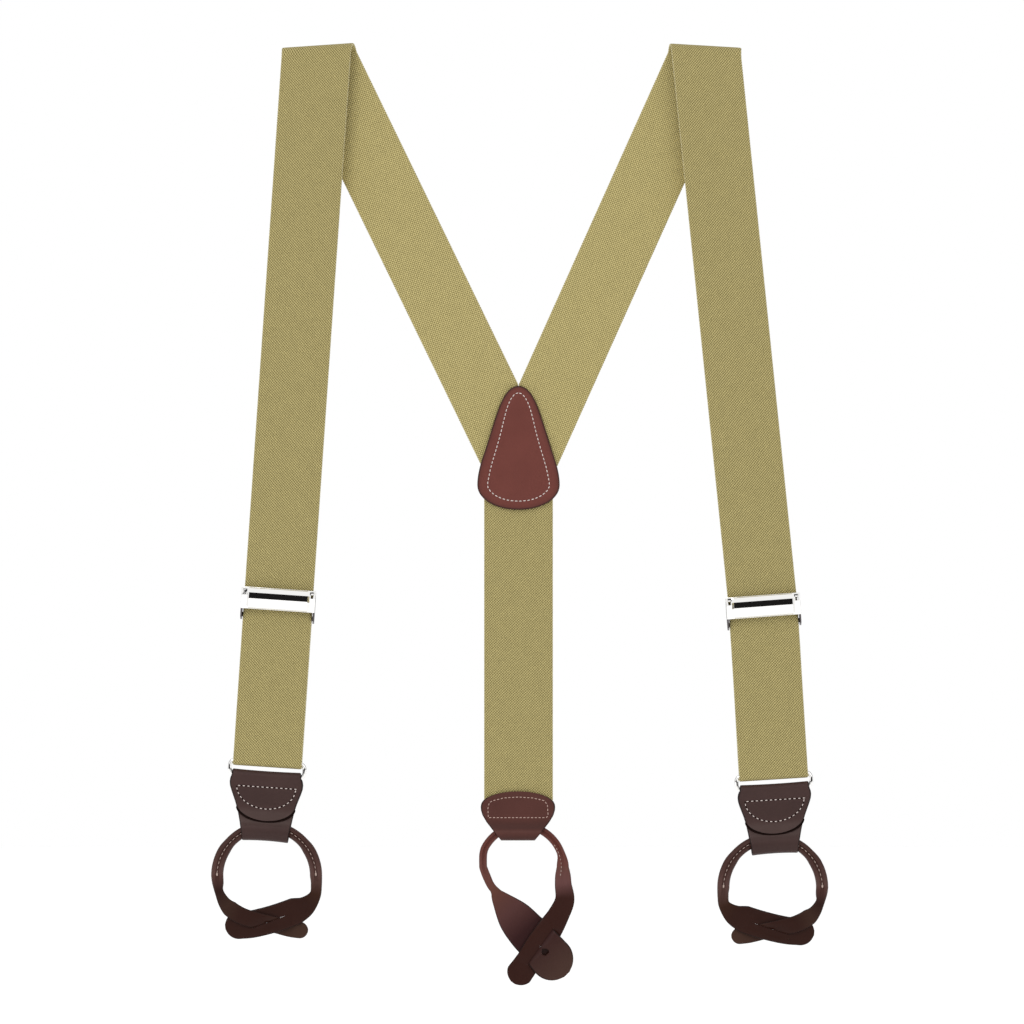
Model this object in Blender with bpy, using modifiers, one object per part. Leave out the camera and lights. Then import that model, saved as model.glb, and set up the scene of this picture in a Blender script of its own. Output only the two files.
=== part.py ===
"""Button-on suspenders with a leather crosspatch, two sliding adjusters and three leather button straps.

The suspenders hang flat, as on a display card: Z is up, X runs from strap to strap, and the front faces -Y.
The origin is the centre of the crosspatch's back face. All lengths are in metres.

The two front straps hang forward of the rear straps. Each chain below a shoulder turn is, in order: front
strap, return strap round a wire ring, adjuster on the front strap, ring, leather tab, leather button strap.
"""

import math

import bmesh
import bpy
from mathutils import Matrix, Vector

# ---- driving dimensions -------------------------------------------------------------------------------

GAP = 0.0003
WEB_WIDTH = 0.0381
WEB_THICKNESS = 0.0013
LEATHER = 0.0016

# depth planes, counted from the crosspatch's back face towards the wearer's eyes
BACK_LEATHER_Y = -LEATHER / 2
REAR_WEB_Y = -LEATHER - GAP - WEB_THICKNESS / 2
FRONT_LEATHER_Y = REAR_WEB_Y - WEB_THICKNESS / 2 - GAP - LEATHER / 2
SHOULDER_RADIUS = 0.0040
FRONT_WEB_Y = REAR_WEB_Y - 2 * SHOULDER_RADIUS

# crosspatch: a rounded pick, point up
PATCH_HALF_WIDTH = 0.0228
PATCH_HALF_HEIGHT = 0.0343
STRAP_MEETING_Z = 0.0352
MITRE_Z = -0.0115

# rear tab at the foot of the centre strap
REAR_TAB_TOP_Z = -0.1903
REAR_TAB_FOOT_Z = -0.2174
REAR_TAB_HALF_WIDTH = 0.0206
CENTRE_STRAP_END_Z = -0.2045

# wire ring, measured on the wire's centre line
RING_WIRE_RADIUS = 0.00105
RING_WIDTH = 0.0412
RING_HEIGHT = 0.0080
RING_CORNER = 0.0030

# the web's turn round the ring's upper bar
TURN_RADIUS = 0.00235
RETURN_WEB_Y = 2 * TURN_RADIUS
FRONT_END_ABOVE_BAR = 0.0050
CHAIN_Y = FRONT_WEB_Y + TURN_RADIUS

# front tab, measured down from the ring's lower bar
TAB_CREST = 0.00295
TAB_DROP = 0.0360
TAB_FLAP_DROP = 0.0242
FLAP_BOW_TOP = 0.0170
FLAP_BOW_HALF = 0.0154
TAB_HALF_THICKNESS = 0.0024
FOLD_WALL = 0.0013
TAB_RING_BORE = 0.00145

# leather button straps: a rolled cord between two flat ends with buttonholes
FRONT_CORD_RADIUS = 0.00295
FRONT_ARCH_RADIUS = 0.0273
REAR_CORD_RADIUS = 0.0022
REAR_ARCH_RADIUS = 0.0230
REAR_ARCH_CENTRE = Vector((0.0018, REAR_WEB_Y, -0.2321))
CORD_CLEARANCE = 0.00035
FRONT_CORD_SWELL = 0.00045
END_HALF_THICKNESS = 0.0009
END_PLANE_Y = 0.0012
SLIT_WIDTH = 0.0008
KEYHOLE_RADIUS = 0.0019

# adjuster, measured from the middle of its cover
ADJUSTER_WIDTH = 0.0409
COVER_HEIGHT = 0.0120
COVER_BACK_Y = -0.0145
COVER_SHEET = 0.0008
PILLOW_WIDTH = 0.0345
PILLOW_DEPTH = 0.0013
ARM_INNER_X = 0.0195
ARM_THICKNESS = 0.0009
ARM_END_RADIUS = 0.00125
ANVIL_Y = -0.0091
ANVIL_Z = -0.0025
ANVIL_DEPTH = 0.0010
ANVIL_HEIGHT = 0.0030
PIN_Z = 0.0043
PIN_Y = -0.0130
PIN_RADIUS = 0.00055
KNUCKLE_RADIUS = 0.00125
HEM_BAR_Z = -0.0094
HEM_BAR_HEIGHT = 0.0024
HEM_BAR_DEPTH = 0.0012
HEM_BAR_Y = -0.0075
HEM_FOOT_Z = -0.0262
TEETH = 11
JAW_HALF_WIDTH = 0.0170
TOOTH_ROOT = 0.0016
TOOTH_TIP = 0.0026

# reach of the tools that cut outlines and bores, longer than anything they pass through
OUTLINE_REACH = 0.012
BORE_LENGTH = 0.05

# the two sides differ a little, as a hand-hung pair does: "out" is the distance from the centre line
SIDES = {
    "left": {
        "sign": -1,
        "rear_angle": math.radians(25.9),
        "crest_out": 0.1117,
        "crest_z": 0.2225,
        "crest_tilt": math.radians(3.9),
        "lower_tilt": math.radians(3.88),
        "adjuster_tilt": math.radians(3.9),
        "ring_out": 0.1389,
        "ring_z": -0.1775,
        "adjuster_z": -0.0838,
        "tab_lean": 0.043,
        "arch_out": 0.1392,
        "arch_z": -0.2365,
        "leg_lift": -0.0010,
    },
    "right": {
        "sign": 1,
        "rear_angle": math.radians(24.2),
        "crest_out": 0.1037,
        "crest_z": 0.2224,
        "crest_tilt": math.radians(3.4),
        "lower_tilt": math.radians(3.58),
        "adjuster_tilt": math.radians(4.2),
        "ring_out": 0.1411,
        "ring_z": -0.1844,
        "adjuster_z": -0.0873,
        "tab_lean": 0.055,
        "arch_out": 0.1405,
        "arch_z": -0.2431,
        "leg_lift": 0.0025,
    },
}

# ---- scene, collections and materials -----------------------------------------------------------------

for old in list(bpy.data.objects):
    bpy.data.objects.remove(old)

PARTS = bpy.data.collections.new("suspenders")
CUTTERS = bpy.data.collections.new("suspenders_cutters")
bpy.context.scene.collection.children.link(PARTS)
bpy.context.scene.collection.children.link(CUTTERS)


def principled(name, colour, roughness, metallic=0.0):
    """A plain Principled BSDF material."""
    material = bpy.data.materials.new(name)
    material.use_nodes = True
    shader = material.node_tree.nodes["Principled BSDF"]
    shader.inputs["Base Color"].default_value = (*colour, 1.0)
    shader.inputs["Roughness"].default_value = roughness
    shader.inputs["Metallic"].default_value = metallic
    material.diffuse_color = (*colour, 1.0)
    return material


WEBBING = ((0.40, 0.34, 0.13), 0.9, 0.0)
DARK_LEATHER = ((0.055, 0.030, 0.026), 0.45, 0.0)
RED_LEATHER = ((0.095, 0.036, 0.030), 0.45, 0.0)
NICKEL = ((0.80, 0.79, 0.77), 0.12, 1.0)


# ---- shape helpers ------------------------------------------------------------------------------------


def place(obj, name, look, parent=None, basis=None):
    """Link a finished piece, give it its own material and hang it under its joint's empty."""
    obj.name = name
    obj.data.name = name
    obj.data.materials.clear()
    obj.data.materials.append(principled(name, *look))
    PARTS.objects.link(obj)
    obj.parent = parent
    obj.matrix_basis = basis or Matrix()
    return obj


def joint_empty(name, world, parent=None, parent_world=None):
    """An empty on a joint's axis. Its children are modelled in its frame."""
    empty = bpy.data.objects.new(name, None)
    empty.empty_display_size = 0.01
    PARTS.objects.link(empty)
    empty.parent = parent
    empty.matrix_basis = (parent_world or Matrix()).inverted() @ world
    return empty


def arc(centre, radius, start, end, steps):
    """Points of an arc in a plane; angles in degrees."""
    turn = [math.radians(start + (end - start) * i / steps) for i in range(steps + 1)]
    return [(centre[0] + radius * math.cos(a), centre[1] + radius * math.sin(a)) for a in turn]


def outline_curve(points, half_depth, closed_handles=None):
    """A flat outline in X and Z, standing up and facing -Y, as deep as twice half_depth.

    closed_handles gives each point's outgoing handle, and the incoming one mirrors it.
    """
    curve = bpy.data.curves.new("outline", "CURVE")
    curve.dimensions = "2D"
    curve.fill_mode = "BOTH"
    curve.extrude = half_depth
    curve.resolution_u = 8
    curve.render_resolution_u = 0
    spline = curve.splines.new("BEZIER" if closed_handles else "POLY")
    if closed_handles:
        spline.bezier_points.add(len(points) - 1)
        for knot, point, handle in zip(spline.bezier_points, points, closed_handles):
            knot.handle_left_type = "FREE"
            knot.handle_right_type = "FREE"
            knot.co = (*point, 0)
            knot.handle_right = (point[0] + handle[0], point[1] + handle[1], 0)
            knot.handle_left = (point[0] - handle[0], point[1] - handle[1], 0)
    else:
        spline.points.add(len(points) - 1)
        for knot, point in zip(spline.points, points):
            knot.co = (*point, 0, 1)
    spline.use_cyclic_u = True
    return curve


def standing(y):
    """Where an outline drawn in X and Y goes, so that it stands in X and Z at depth y."""
    return Matrix.Translation((0, y, 0)) @ Matrix.Rotation(math.pi / 2, 4, "X")


def solid_from_curve(curve):
    """A curve as a closed mesh, with its caps welded on."""
    source = bpy.data.objects.new("source", curve)
    bpy.context.scene.collection.objects.link(source)
    bpy.context.view_layer.update()
    evaluated = source.evaluated_get(bpy.context.evaluated_depsgraph_get())
    mesh = bpy.data.meshes.new_from_object(evaluated)
    bpy.data.objects.remove(source)
    bm = bmesh.new()
    bm.from_mesh(mesh)
    bmesh.ops.remove_doubles(bm, verts=bm.verts, dist=1e-6)
    bmesh.ops.recalc_face_normals(bm, faces=bm.faces)
    bm.to_mesh(mesh)
    bm.free()
    return bpy.data.objects.new("solid", mesh)


def cutter(obj, name, parent, basis):
    """Keep a tool body out of the render and out of the parts."""
    obj.name = name
    CUTTERS.objects.link(obj)
    obj.parent = parent
    obj.matrix_basis = basis
    obj.hide_render = True
    obj.display_type = "WIRE"
    return obj


def boolean(obj, tool, operation):
    """A live Boolean with the exact solver."""
    modifier = obj.modifiers.new(operation.lower() + "_" + tool.name, "BOOLEAN")
    modifier.operation = operation
    modifier.solver = "EXACT"
    modifier.object = tool


def box(size):
    """A cube primitive scaled to size, centred on its origin."""
    mesh = bpy.data.meshes.new("box")
    bm = bmesh.new()
    bmesh.ops.create_cube(bm, size=1.0)
    bmesh.ops.scale(bm, vec=size, verts=bm.verts)
    bm.to_mesh(mesh)
    bm.free()
    return bpy.data.objects.new("box", mesh)


def rod(radius, length, segments=16):
    """A cylinder along X, centred on its origin."""
    mesh = bpy.data.meshes.new("rod")
    bm = bmesh.new()
    bmesh.ops.create_cone(
        bm, cap_ends=True, segments=segments, radius1=radius, radius2=radius, depth=length
    )
    bmesh.ops.rotate(bm, matrix=Matrix.Rotation(math.pi / 2, 3, "Y"), verts=bm.verts)
    bm.to_mesh(mesh)
    bm.free()
    smooth(mesh)
    return bpy.data.objects.new("rod", mesh)


def smooth(mesh, angle=40):
    """Round shading that keeps the sharp edges."""
    mesh.shade_smooth()
    mesh.set_sharp_from_angle(angle=math.radians(angle))


def band(rows, thickness):
    """Webbing from rows of (one edge, other edge): an open surface given its thickness by Solidify."""
    mesh = bpy.data.meshes.new("band")
    bm = bmesh.new()
    pairs = [(bm.verts.new(a), bm.verts.new(b)) for a, b in rows]
    for (a, b), (c, d) in zip(pairs, pairs[1:]):
        bm.faces.new((a, b, d, c))
    bm.to_mesh(mesh)
    bm.free()
    smooth(mesh)
    obj = bpy.data.objects.new("band", mesh)
    solidify = obj.modifiers.new("webbing", "SOLIDIFY")
    solidify.thickness = thickness
    solidify.offset = 0.0
    solidify.use_even_offset = True
    return obj


def straight_rows(path, half_width):
    """The rows of a band whose side view is path, a list of (y, z)."""
    return [((-half_width, y, z), (half_width, y, z)) for y, z in path]


def loft(rings):
    """A closed skin over rings of points, capped at both ends."""
    mesh = bpy.data.meshes.new("loft")
    bm = bmesh.new()
    loops = [[bm.verts.new(p) for p in ring] for ring in rings]
    count = len(loops[0])
    for low, high in zip(loops, loops[1:]):
        for i in range(count):
            j = (i + 1) % count
            bm.faces.new((low[i], low[j], high[j], high[i]))
    bm.faces.new(reversed(loops[0]))
    bm.faces.new(loops[-1])
    bmesh.ops.recalc_face_normals(bm, faces=bm.faces)
    bm.to_mesh(mesh)
    bm.free()
    smooth(mesh)
    return bpy.data.objects.new("loft", mesh)


# ---- back yoke: crosspatch, rear straps, centre strap and rear tab -------------------------------------


def patch_outline():
    """The crosspatch's rounded pick, as knots and their outgoing handles, clockwise from the point."""
    w, h = PATCH_HALF_WIDTH, PATCH_HALF_HEIGHT
    knots = [(0, h), (0.42 * w, 0.74 * h), (0.78 * w, 0.03 * h), (w, -0.60 * h), (0, -h)]
    knots += [(-x, z) for x, z in reversed(knots[1:-1])]
    handles = [(0.17 * w, 0), (0.11 * w, -0.16 * h), (0.10 * w, -0.21 * h), (0, -0.22 * h), (-0.58 * w, 0)]
    handles += [(dx, -dz) for dx, dz in reversed(handles[1:-1])]
    return knots, handles


def crosspatch():
    """Two leather faces with the webbing sewn between them."""
    knots, handles = patch_outline()
    for name, y in (("crosspatch_front", FRONT_LEATHER_Y), ("crosspatch_back", BACK_LEATHER_Y)):
        curve = outline_curve(knots, LEATHER / 2, handles)
        place(bpy.data.objects.new(name, curve), name, RED_LEATHER, basis=standing(y))


def fold_line(side, z_shift=0.0):
    """The shoulder turn's axis: a point on it, and its direction away from the centre line."""
    s = side["sign"]
    drop = SHOULDER_RADIUS + WEB_THICKNESS / 2
    point = Vector((s * side["crest_out"], side["crest_z"] - drop + z_shift))
    direction = Vector((s * math.cos(side["crest_tilt"]), -math.sin(side["crest_tilt"])))
    return point, direction


def crossing(point, direction, other_point, other_direction):
    """Where two lines in a plane meet."""
    along = (other_point - point).cross(other_direction) / direction.cross(other_direction)
    return point + direction * along


def rear_edges(side):
    """The rear strap's inner and outer edge lines: a point and the shared upward direction."""
    s, angle = side["sign"], side["rear_angle"]
    up = Vector((s * math.sin(angle), math.cos(angle)))
    across = Vector((s * math.cos(angle), -math.sin(angle)))
    inner = Vector((s * GAP / 2, STRAP_MEETING_Z))
    return inner, inner + across * WEB_WIDTH, up


def rear_strap(name, side):
    """Flat webbing from under the crosspatch to the shoulder turn."""
    s = side["sign"]
    inner, outer, up = rear_edges(side)
    fold, along = fold_line(side, -GAP / 2)
    seam = Vector((s * GAP / 2, 0))
    points = [
        crossing(inner, up, fold, along),
        inner,
        Vector((seam.x, MITRE_Z)),
        crossing(outer, up, Vector((0, MITRE_Z)), Vector((1, 0))),
        crossing(outer, up, fold, along),
    ]
    curve = outline_curve(points, WEB_THICKNESS / 2)
    place(bpy.data.objects.new(name, curve), name, WEBBING, basis=standing(REAR_WEB_Y))


def upper_direction(side):
    """The upward direction of the front strap above its adjuster, and the strap's centre there."""
    centre = adjuster_world(side).translation
    fold, _ = fold_line(side)
    top = fold - Vector((centre.x, centre.z))
    return top.normalized(), Vector((centre.x, centre.z))


def front_top_corners(side, z_shift=0.0):
    """Inner and outer corners of the front strap at the shoulder turn's axis."""
    up, _ = upper_direction(side)
    fold, along = fold_line(side, z_shift)
    half = WEB_WIDTH / 2 / abs(up.cross(along))
    return fold - along * half, fold + along * half


def shoulder_turn(name, side):
    """The web's half turn over the shoulder, from the rear strap's slant to the front strap's."""
    inner, outer, up = rear_edges(side)
    fold, along = fold_line(side)
    rear = [crossing(inner, up, fold, along), crossing(outer, up, fold, along)]
    front = front_top_corners(side)
    middle = (REAR_WEB_Y + FRONT_WEB_Y) / 2
    steps = 12
    rows = []
    for i in range(steps + 1):
        share = i / steps
        turn = math.pi * share
        rise = SHOULDER_RADIUS * math.sin(turn)
        y = middle + SHOULDER_RADIUS * math.cos(turn)
        ends = [a.lerp(b, share) for a, b in zip(rear, front)]
        rows.append([(p.x, y, p.y + rise) for p in ends])
    place(band(rows, WEB_THICKNESS), name, WEBBING)


def centre_strap():
    """The single strap down the back, from the crosspatch into the rear tab."""
    half = WEB_WIDTH / 2
    top = MITRE_Z - GAP
    points = [(-half, top), (half, top), (half, CENTRE_STRAP_END_Z), (-half, CENTRE_STRAP_END_Z)]
    curve = outline_curve(points, WEB_THICKNESS / 2)
    obj = bpy.data.objects.new("centre_strap", curve)
    place(obj, "centre_strap", WEBBING, basis=standing(REAR_WEB_Y))


def rear_tab_outline():
    """The rear tab seen from the front: arched top, full sides, narrow folded foot."""
    w, top, foot = REAR_TAB_HALF_WIDTH, REAR_TAB_TOP_Z, REAR_TAB_FOOT_Z
    side_z = top - 0.0090
    waist = (0.66 * w, foot + 0.0065)
    knots = [(0, top), (w, side_z), waist, (0.45 * w, foot)]
    handles = [(0.60 * w, 0), (0, -0.0035), (-0.0012, -0.0018), (-0.0025, 0)]
    knots += [(-x, z) for x, z in reversed(knots[1:])]
    handles += [(dx, -dz) for dx, dz in reversed(handles[1:])]
    return knots, handles


def rear_tab():
    """One leather strip folded round the cord, its two faces sewn over the end of the centre strap."""
    slot = WEB_THICKNESS / 2 + GAP
    face = slot + LEATHER
    foot = REAR_CORD_RADIUS + CORD_CLEARANCE + FOLD_WALL
    top, turn_z = 0.002 + REAR_TAB_TOP_Z, REAR_TAB_FOOT_Z + foot + 0.0012
    flare_z = CENTRE_STRAP_END_Z
    profile = [(-face, top), (-slot, top), (-slot, CENTRE_STRAP_END_Z - GAP)]
    profile += [(slot, CENTRE_STRAP_END_Z - GAP), (slot, top), (face, top)]
    profile += [(face, flare_z), (foot, turn_z)]
    profile += arc((0, REAR_TAB_FOOT_Z + foot), foot, 0, -180, 10)
    profile += [(-foot, turn_z), (-face, flare_z)]
    folded = solid_from_curve(outline_curve(profile, REAR_TAB_HALF_WIDTH + 0.002))
    folded.data.transform(Matrix.Rotation(math.pi / 2, 4, "Z") @ Matrix.Rotation(math.pi / 2, 4, "X"))
    tab = place(folded, "rear_tab", RED_LEATHER, basis=Matrix.Translation((0, REAR_WEB_Y, 0)))
    front_view = solid_from_curve(outline_curve(*outline_with_depth(rear_tab_outline(), OUTLINE_REACH)))
    boolean(tab, cutter(front_view, "rear_tab_outline", None, standing(REAR_WEB_Y)), "INTERSECT")
    channel = cord_channel(REAR_ARCH_RADIUS, REAR_CORD_RADIUS)
    place_channel = Matrix.Translation(REAR_ARCH_CENTRE)
    boolean(tab, cutter(channel, "rear_cord_channel", None, place_channel), "DIFFERENCE")
    smooth(tab.data)


def outline_with_depth(outline, half_depth):
    """The arguments of outline_curve for an outline of knots and handles."""
    knots, handles = outline
    return knots, half_depth, handles


def cord_channel(arch_radius, cord_radius):
    """The curved channel that a tab's fold leaves for the cord."""
    sections = []
    steps, around = 16, 16
    bore = cord_radius + CORD_CLEARANCE
    for i in range(steps + 1):
        a = math.radians(30 + 120 * i / steps)
        outward = Vector((math.cos(a), 0, math.sin(a)))
        ring = []
        for k in range(around):
            b = 2 * math.pi * k / around
            depth = Vector((0, bore * math.sin(b), 0))
            ring.append(outward * (arch_radius + bore * math.cos(b)) + depth)
        sections.append(ring)
    return loft(sections)


# ---- front straps, return straps, rings and tabs -------------------------------------------------------


def tilted(side, point, tilt):
    """A frame at point, turned in the XZ plane so that its Z runs up a strap leaning outward by tilt."""
    return Matrix.Translation(point) @ Matrix.Rotation(-side["sign"] * tilt, 4, "Y")


def ring_world(side):
    """The frame of the ring's upper bar."""
    centre = Vector((side["sign"] * side["ring_out"], CHAIN_Y, side["ring_z"]))
    frame = tilted(side, centre, side["lower_tilt"])
    return frame @ Matrix.Translation((0, 0, RING_HEIGHT / 2))


def adjuster_world(side):
    """The frame of the adjuster's cover, on the strap's centre line, at the crosspatch's depth."""
    bar = ring_world(side)
    rise = (side["adjuster_z"] - bar.translation.z) / math.cos(side["lower_tilt"])
    centre = bar @ Vector((0, 0, rise))
    centre.y = 0
    return tilted(side, centre, side["adjuster_tilt"])


def front_strap(name, side, shoulder, shoulder_world):
    """Flat webbing from the shoulder turn, through the adjuster, to just above the ring."""
    up, middle = upper_direction(side)
    inner_top, outer_top = front_top_corners(side, -GAP / 2)
    bar = ring_world(side)
    foot = bar @ Vector((0, 0, FRONT_END_ABOVE_BAR + GAP))
    across = (bar.to_3x3() @ Vector((side["sign"], 0, 0))) * WEB_WIDTH / 2
    foot = Vector((foot.x, foot.z))
    across = Vector((across.x, across.z))
    bend = Vector((abs(up.y), -up.x * side["sign"])) * WEB_WIDTH / 2
    bend = (Vector((bend.x * side["sign"], bend.y)) + across) / 2
    points = [inner_top, middle - bend, foot - across, foot + across, middle + bend, outer_top]
    local = [p - Vector((shoulder_world.translation.x, shoulder_world.translation.z)) for p in points]
    curve = outline_curve(local, WEB_THICKNESS / 2)
    depth = FRONT_WEB_Y - shoulder_world.translation.y
    place(bpy.data.objects.new(name, curve), name, WEBBING, shoulder, standing(depth))


def return_strap(name, parent, length):
    """The web's end: round the ring's upper bar and up behind the front strap to the adjuster's hem."""
    path = [(-TURN_RADIUS, FRONT_END_ABOVE_BAR)]
    path += arc((0, 0), TURN_RADIUS, 180, 360, 12)
    path += [(TURN_RADIUS, length)]
    place(band(straight_rows(path, WEB_WIDTH / 2), WEB_THICKNESS), name, WEBBING, parent)


def ring(name, parent):
    """A rectangle of round wire with rounded corners, hanging from its upper bar."""
    w, h, r = RING_WIDTH / 2 - RING_CORNER, RING_HEIGHT / 2 - RING_CORNER, RING_CORNER
    points = arc((w, h), r, 90, 0, 6) + arc((w, -h), r, 0, -90, 6)
    points += arc((-w, -h), r, -90, -180, 6) + arc((-w, h), r, 180, 90, 6)
    curve = bpy.data.curves.new(name, "CURVE")
    curve.dimensions = "3D"
    curve.bevel_depth = RING_WIRE_RADIUS
    curve.bevel_resolution = 2
    spline = curve.splines.new("POLY")
    spline.points.add(len(points) - 1)
    for knot, (x, z) in zip(spline.points, points):
        knot.co = (x, 0, z - RING_HEIGHT / 2, 1)
    spline.use_cyclic_u = True
    place(bpy.data.objects.new(name, curve), name, NICKEL, parent)


def tab_outline(lean):
    """The front tab seen from the front, hanging from the ring's lower bar at z = 0."""
    right = [(0.0186, TAB_CREST + 0.001), (0.0186, -0.0016), (0.0203, -0.0036), (0.0201, -0.0064)]
    right += [(0.0192, -0.0094), (0.0171, -0.0150), (0.0159, -0.0185), (0.0148, -0.0235)]
    right += [(0.0139, -0.0279), (0.0128, -TAB_DROP)]
    left = [(-x, z) for x, z in reversed(right)]
    return [(x - lean * z, z) for x, z in right + left]


def flap_outline(lean):
    """The D-shaped end of the tab's strip, on the tab's front."""
    side = [(0.0181, 0.0), (0.0181, -0.0100), (0.0164, -0.0150)]
    deep = TAB_FLAP_DROP - FLAP_BOW_TOP
    curve = arc((0, 0), 1.0, 0, -180, 16)
    points = side + [(x * FLAP_BOW_HALF, -FLAP_BOW_TOP + z * deep) for x, z in curve]
    points += [(-x, z) for x, z in reversed(side)]
    return [(x - lean * z, z) for x, z in points]


def front_tab(name, side, parent):
    """One leather strip: round the ring's lower bar, down, round the cord and up under its own flap."""
    lean = -side["sign"] * side["tab_lean"]
    body, foot = TAB_HALF_THICKNESS, FRONT_CORD_RADIUS + CORD_CLEARANCE + FOLD_WALL
    profile = arc((0, 0), TAB_CREST, 180, 0, 12)
    profile += [(body, -0.0050), (body, -0.0200), (foot, -0.0265), (foot, foot - TAB_DROP)]
    profile += arc((0, foot - TAB_DROP), foot, 0, -180, 10)[1:]
    profile += [(-foot, -0.0265), (-body, -0.0200), (-body, -0.0050)]
    folded = solid_from_curve(outline_curve(profile, 0.0215))
    folded.data.transform(Matrix.Rotation(math.pi / 2, 4, "Z") @ Matrix.Rotation(math.pi / 2, 4, "X"))
    tab = place(folded, name, DARK_LEATHER, parent)
    front_view = solid_from_curve(outline_curve(tab_outline(lean), OUTLINE_REACH))
    boolean(tab, cutter(front_view, name + "_outline", parent, standing(0)), "INTERSECT")
    flap = solid_from_curve(outline_curve(flap_outline(lean), LEATHER / 2))
    flap_y = -body - LEATHER / 2 + 0.0004
    boolean(tab, cutter(flap, name + "_flap", parent, standing(flap_y)), "UNION")
    bore = cutter(rod(TAB_RING_BORE, BORE_LENGTH), name + "_ring_bore", parent, Matrix())
    boolean(tab, bore, "DIFFERENCE")
    smooth(tab.data)
    return tab


# ---- leather button straps -----------------------------------------------------------------------------


def section(half_width, half_thickness, centre, across):
    """A flat bar's section with round sides, 16 points, drawn across the strap and through its depth."""
    r = min(half_width, half_thickness) * 0.999
    points = []
    for cx, cy, start in ((1, 1, 0), (-1, 1, 90), (-1, -1, 180), (1, -1, 270)):
        corner = (cx * (half_width - r), cy * (half_thickness - r))
        points += arc(corner, r, start, start + 90, 3)
    return [centre + across * u + Vector((0, v, 0)) for u, v in points]


def smooth_stations(stations, per_span):
    """Extra stations between the given ones, on a Catmull-Rom spline through all their values."""
    rows = [stations[0], *stations, stations[-1]]
    out = []
    for a, b, c, d in zip(rows, rows[1:], rows[2:], rows[3:]):
        for i in range(per_span):
            t = i / per_span
            weights = (
                -0.5 * t + t * t - 0.5 * t**3,
                1 - 2.5 * t * t + 1.5 * t**3,
                0.5 * t + 2 * t * t - 1.5 * t**3,
                -0.5 * t * t + 0.5 * t**3,
            )
            out.append([sum(w * q for w, q in zip(weights, p)) for p in zip(a, b, c, d)])
    out.append(list(stations[-1]))
    return out


def rounded_tip(stations, radius):
    """Narrow the last stations to a round end."""
    out = []
    tip = Vector(stations[-1][:2])
    for x, z, half_width in stations:
        gone = radius - min((Vector((x, z)) - tip).length, radius)
        cap = math.sqrt(max(radius**2 - gone**2, (0.25 * radius) ** 2))
        out.append([x, z, min(half_width, cap)])
    return out


def button_strap(name, parent, arch_radius, cord_radius, legs, left_in_front, slits, look, swell):
    """A cord arched over the origin, whose two ends flatten into legs that cross with their slits.

    The left leg, then the right one, is a list of (x, z, half width) from the arch's end to its tip. swell is
    how much broader the cord is at an angle round the arch.
    """
    left_plane = -END_PLANE_Y if left_in_front else END_PLANE_Y
    arch = []
    for a in range(0, 181, 10):
        turn = math.radians(a)
        arch.append([arch_radius * math.cos(turn), arch_radius * math.sin(turn), cord_radius + swell(a)])
    legs = [rounded_tip(smooth_stations(leg, 4), leg[-1][2]) for leg in legs]
    line = [[*row, -left_plane] for row in reversed(legs[1])]
    line += [[*row, 0.0] for row in arch[1:-1]]
    line += [[*row, left_plane] for row in legs[0]]
    first, last = len(legs[1]), len(legs[1]) + len(arch) - 2
    rings = []
    for i, (x, z, half_width, plane) in enumerate(line):
        before, after = line[max(i - 1, 0)], line[min(i + 1, len(line) - 1)]
        run = Vector((after[0] - before[0], 0, after[1] - before[1])).normalized()
        across = Vector((-run.z, 0, run.x))
        away = max(first - i, i - last + 1, 0)
        flat = min(away / 8, 1.0)
        flat = flat * flat * (3 - 2 * flat)
        half_thickness = cord_radius + (END_HALF_THICKNESS - cord_radius) * flat
        rings.append(section(half_width, half_thickness, Vector((x, plane * flat, z)), across))
    strap = place(loft(rings), name, look, parent)
    for number, (x, z, length, turn, front, keyhole) in enumerate(slits):
        depth = 0.0030
        basis = Matrix.Translation((x, (-depth if front else depth) / 2, z))
        basis = basis @ Matrix.Rotation(-math.radians(turn), 4, "Y")
        slit = cutter(box((length, depth, SLIT_WIDTH)), f"{name}_slit_{number}", parent, basis)
        boolean(strap, slit, "DIFFERENCE")
        if keyhole:
            eye = rod(KEYHOLE_RADIUS, depth)
            eye.data.transform(Matrix.Rotation(math.pi / 2, 4, "Z"))
            at = basis @ Matrix.Translation((keyhole * length / 2, 0, 0))
            boolean(strap, cutter(eye, f"{name}_eye_{number}", parent, at), "DIFFERENCE")
    return strap


def front_swell(angle):
    """The front cord is broader where it is clear of the tab's fold, even when the strap is shifted."""
    t = min(max((abs(angle - 90) - 46) / 14, 0.0), 1.0)
    return FRONT_CORD_SWELL * t * t * (3 - 2 * t)


def mirrored(leg, sign, lift):
    """A leg of the left-hand strap, for the side that sign names, raised by lift towards its tip."""
    depth = leg[-1][1] - leg[0][1]
    return [(-sign * x, z + lift * (z - leg[0][1]) / depth, w) for x, z, w in leg]


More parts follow.
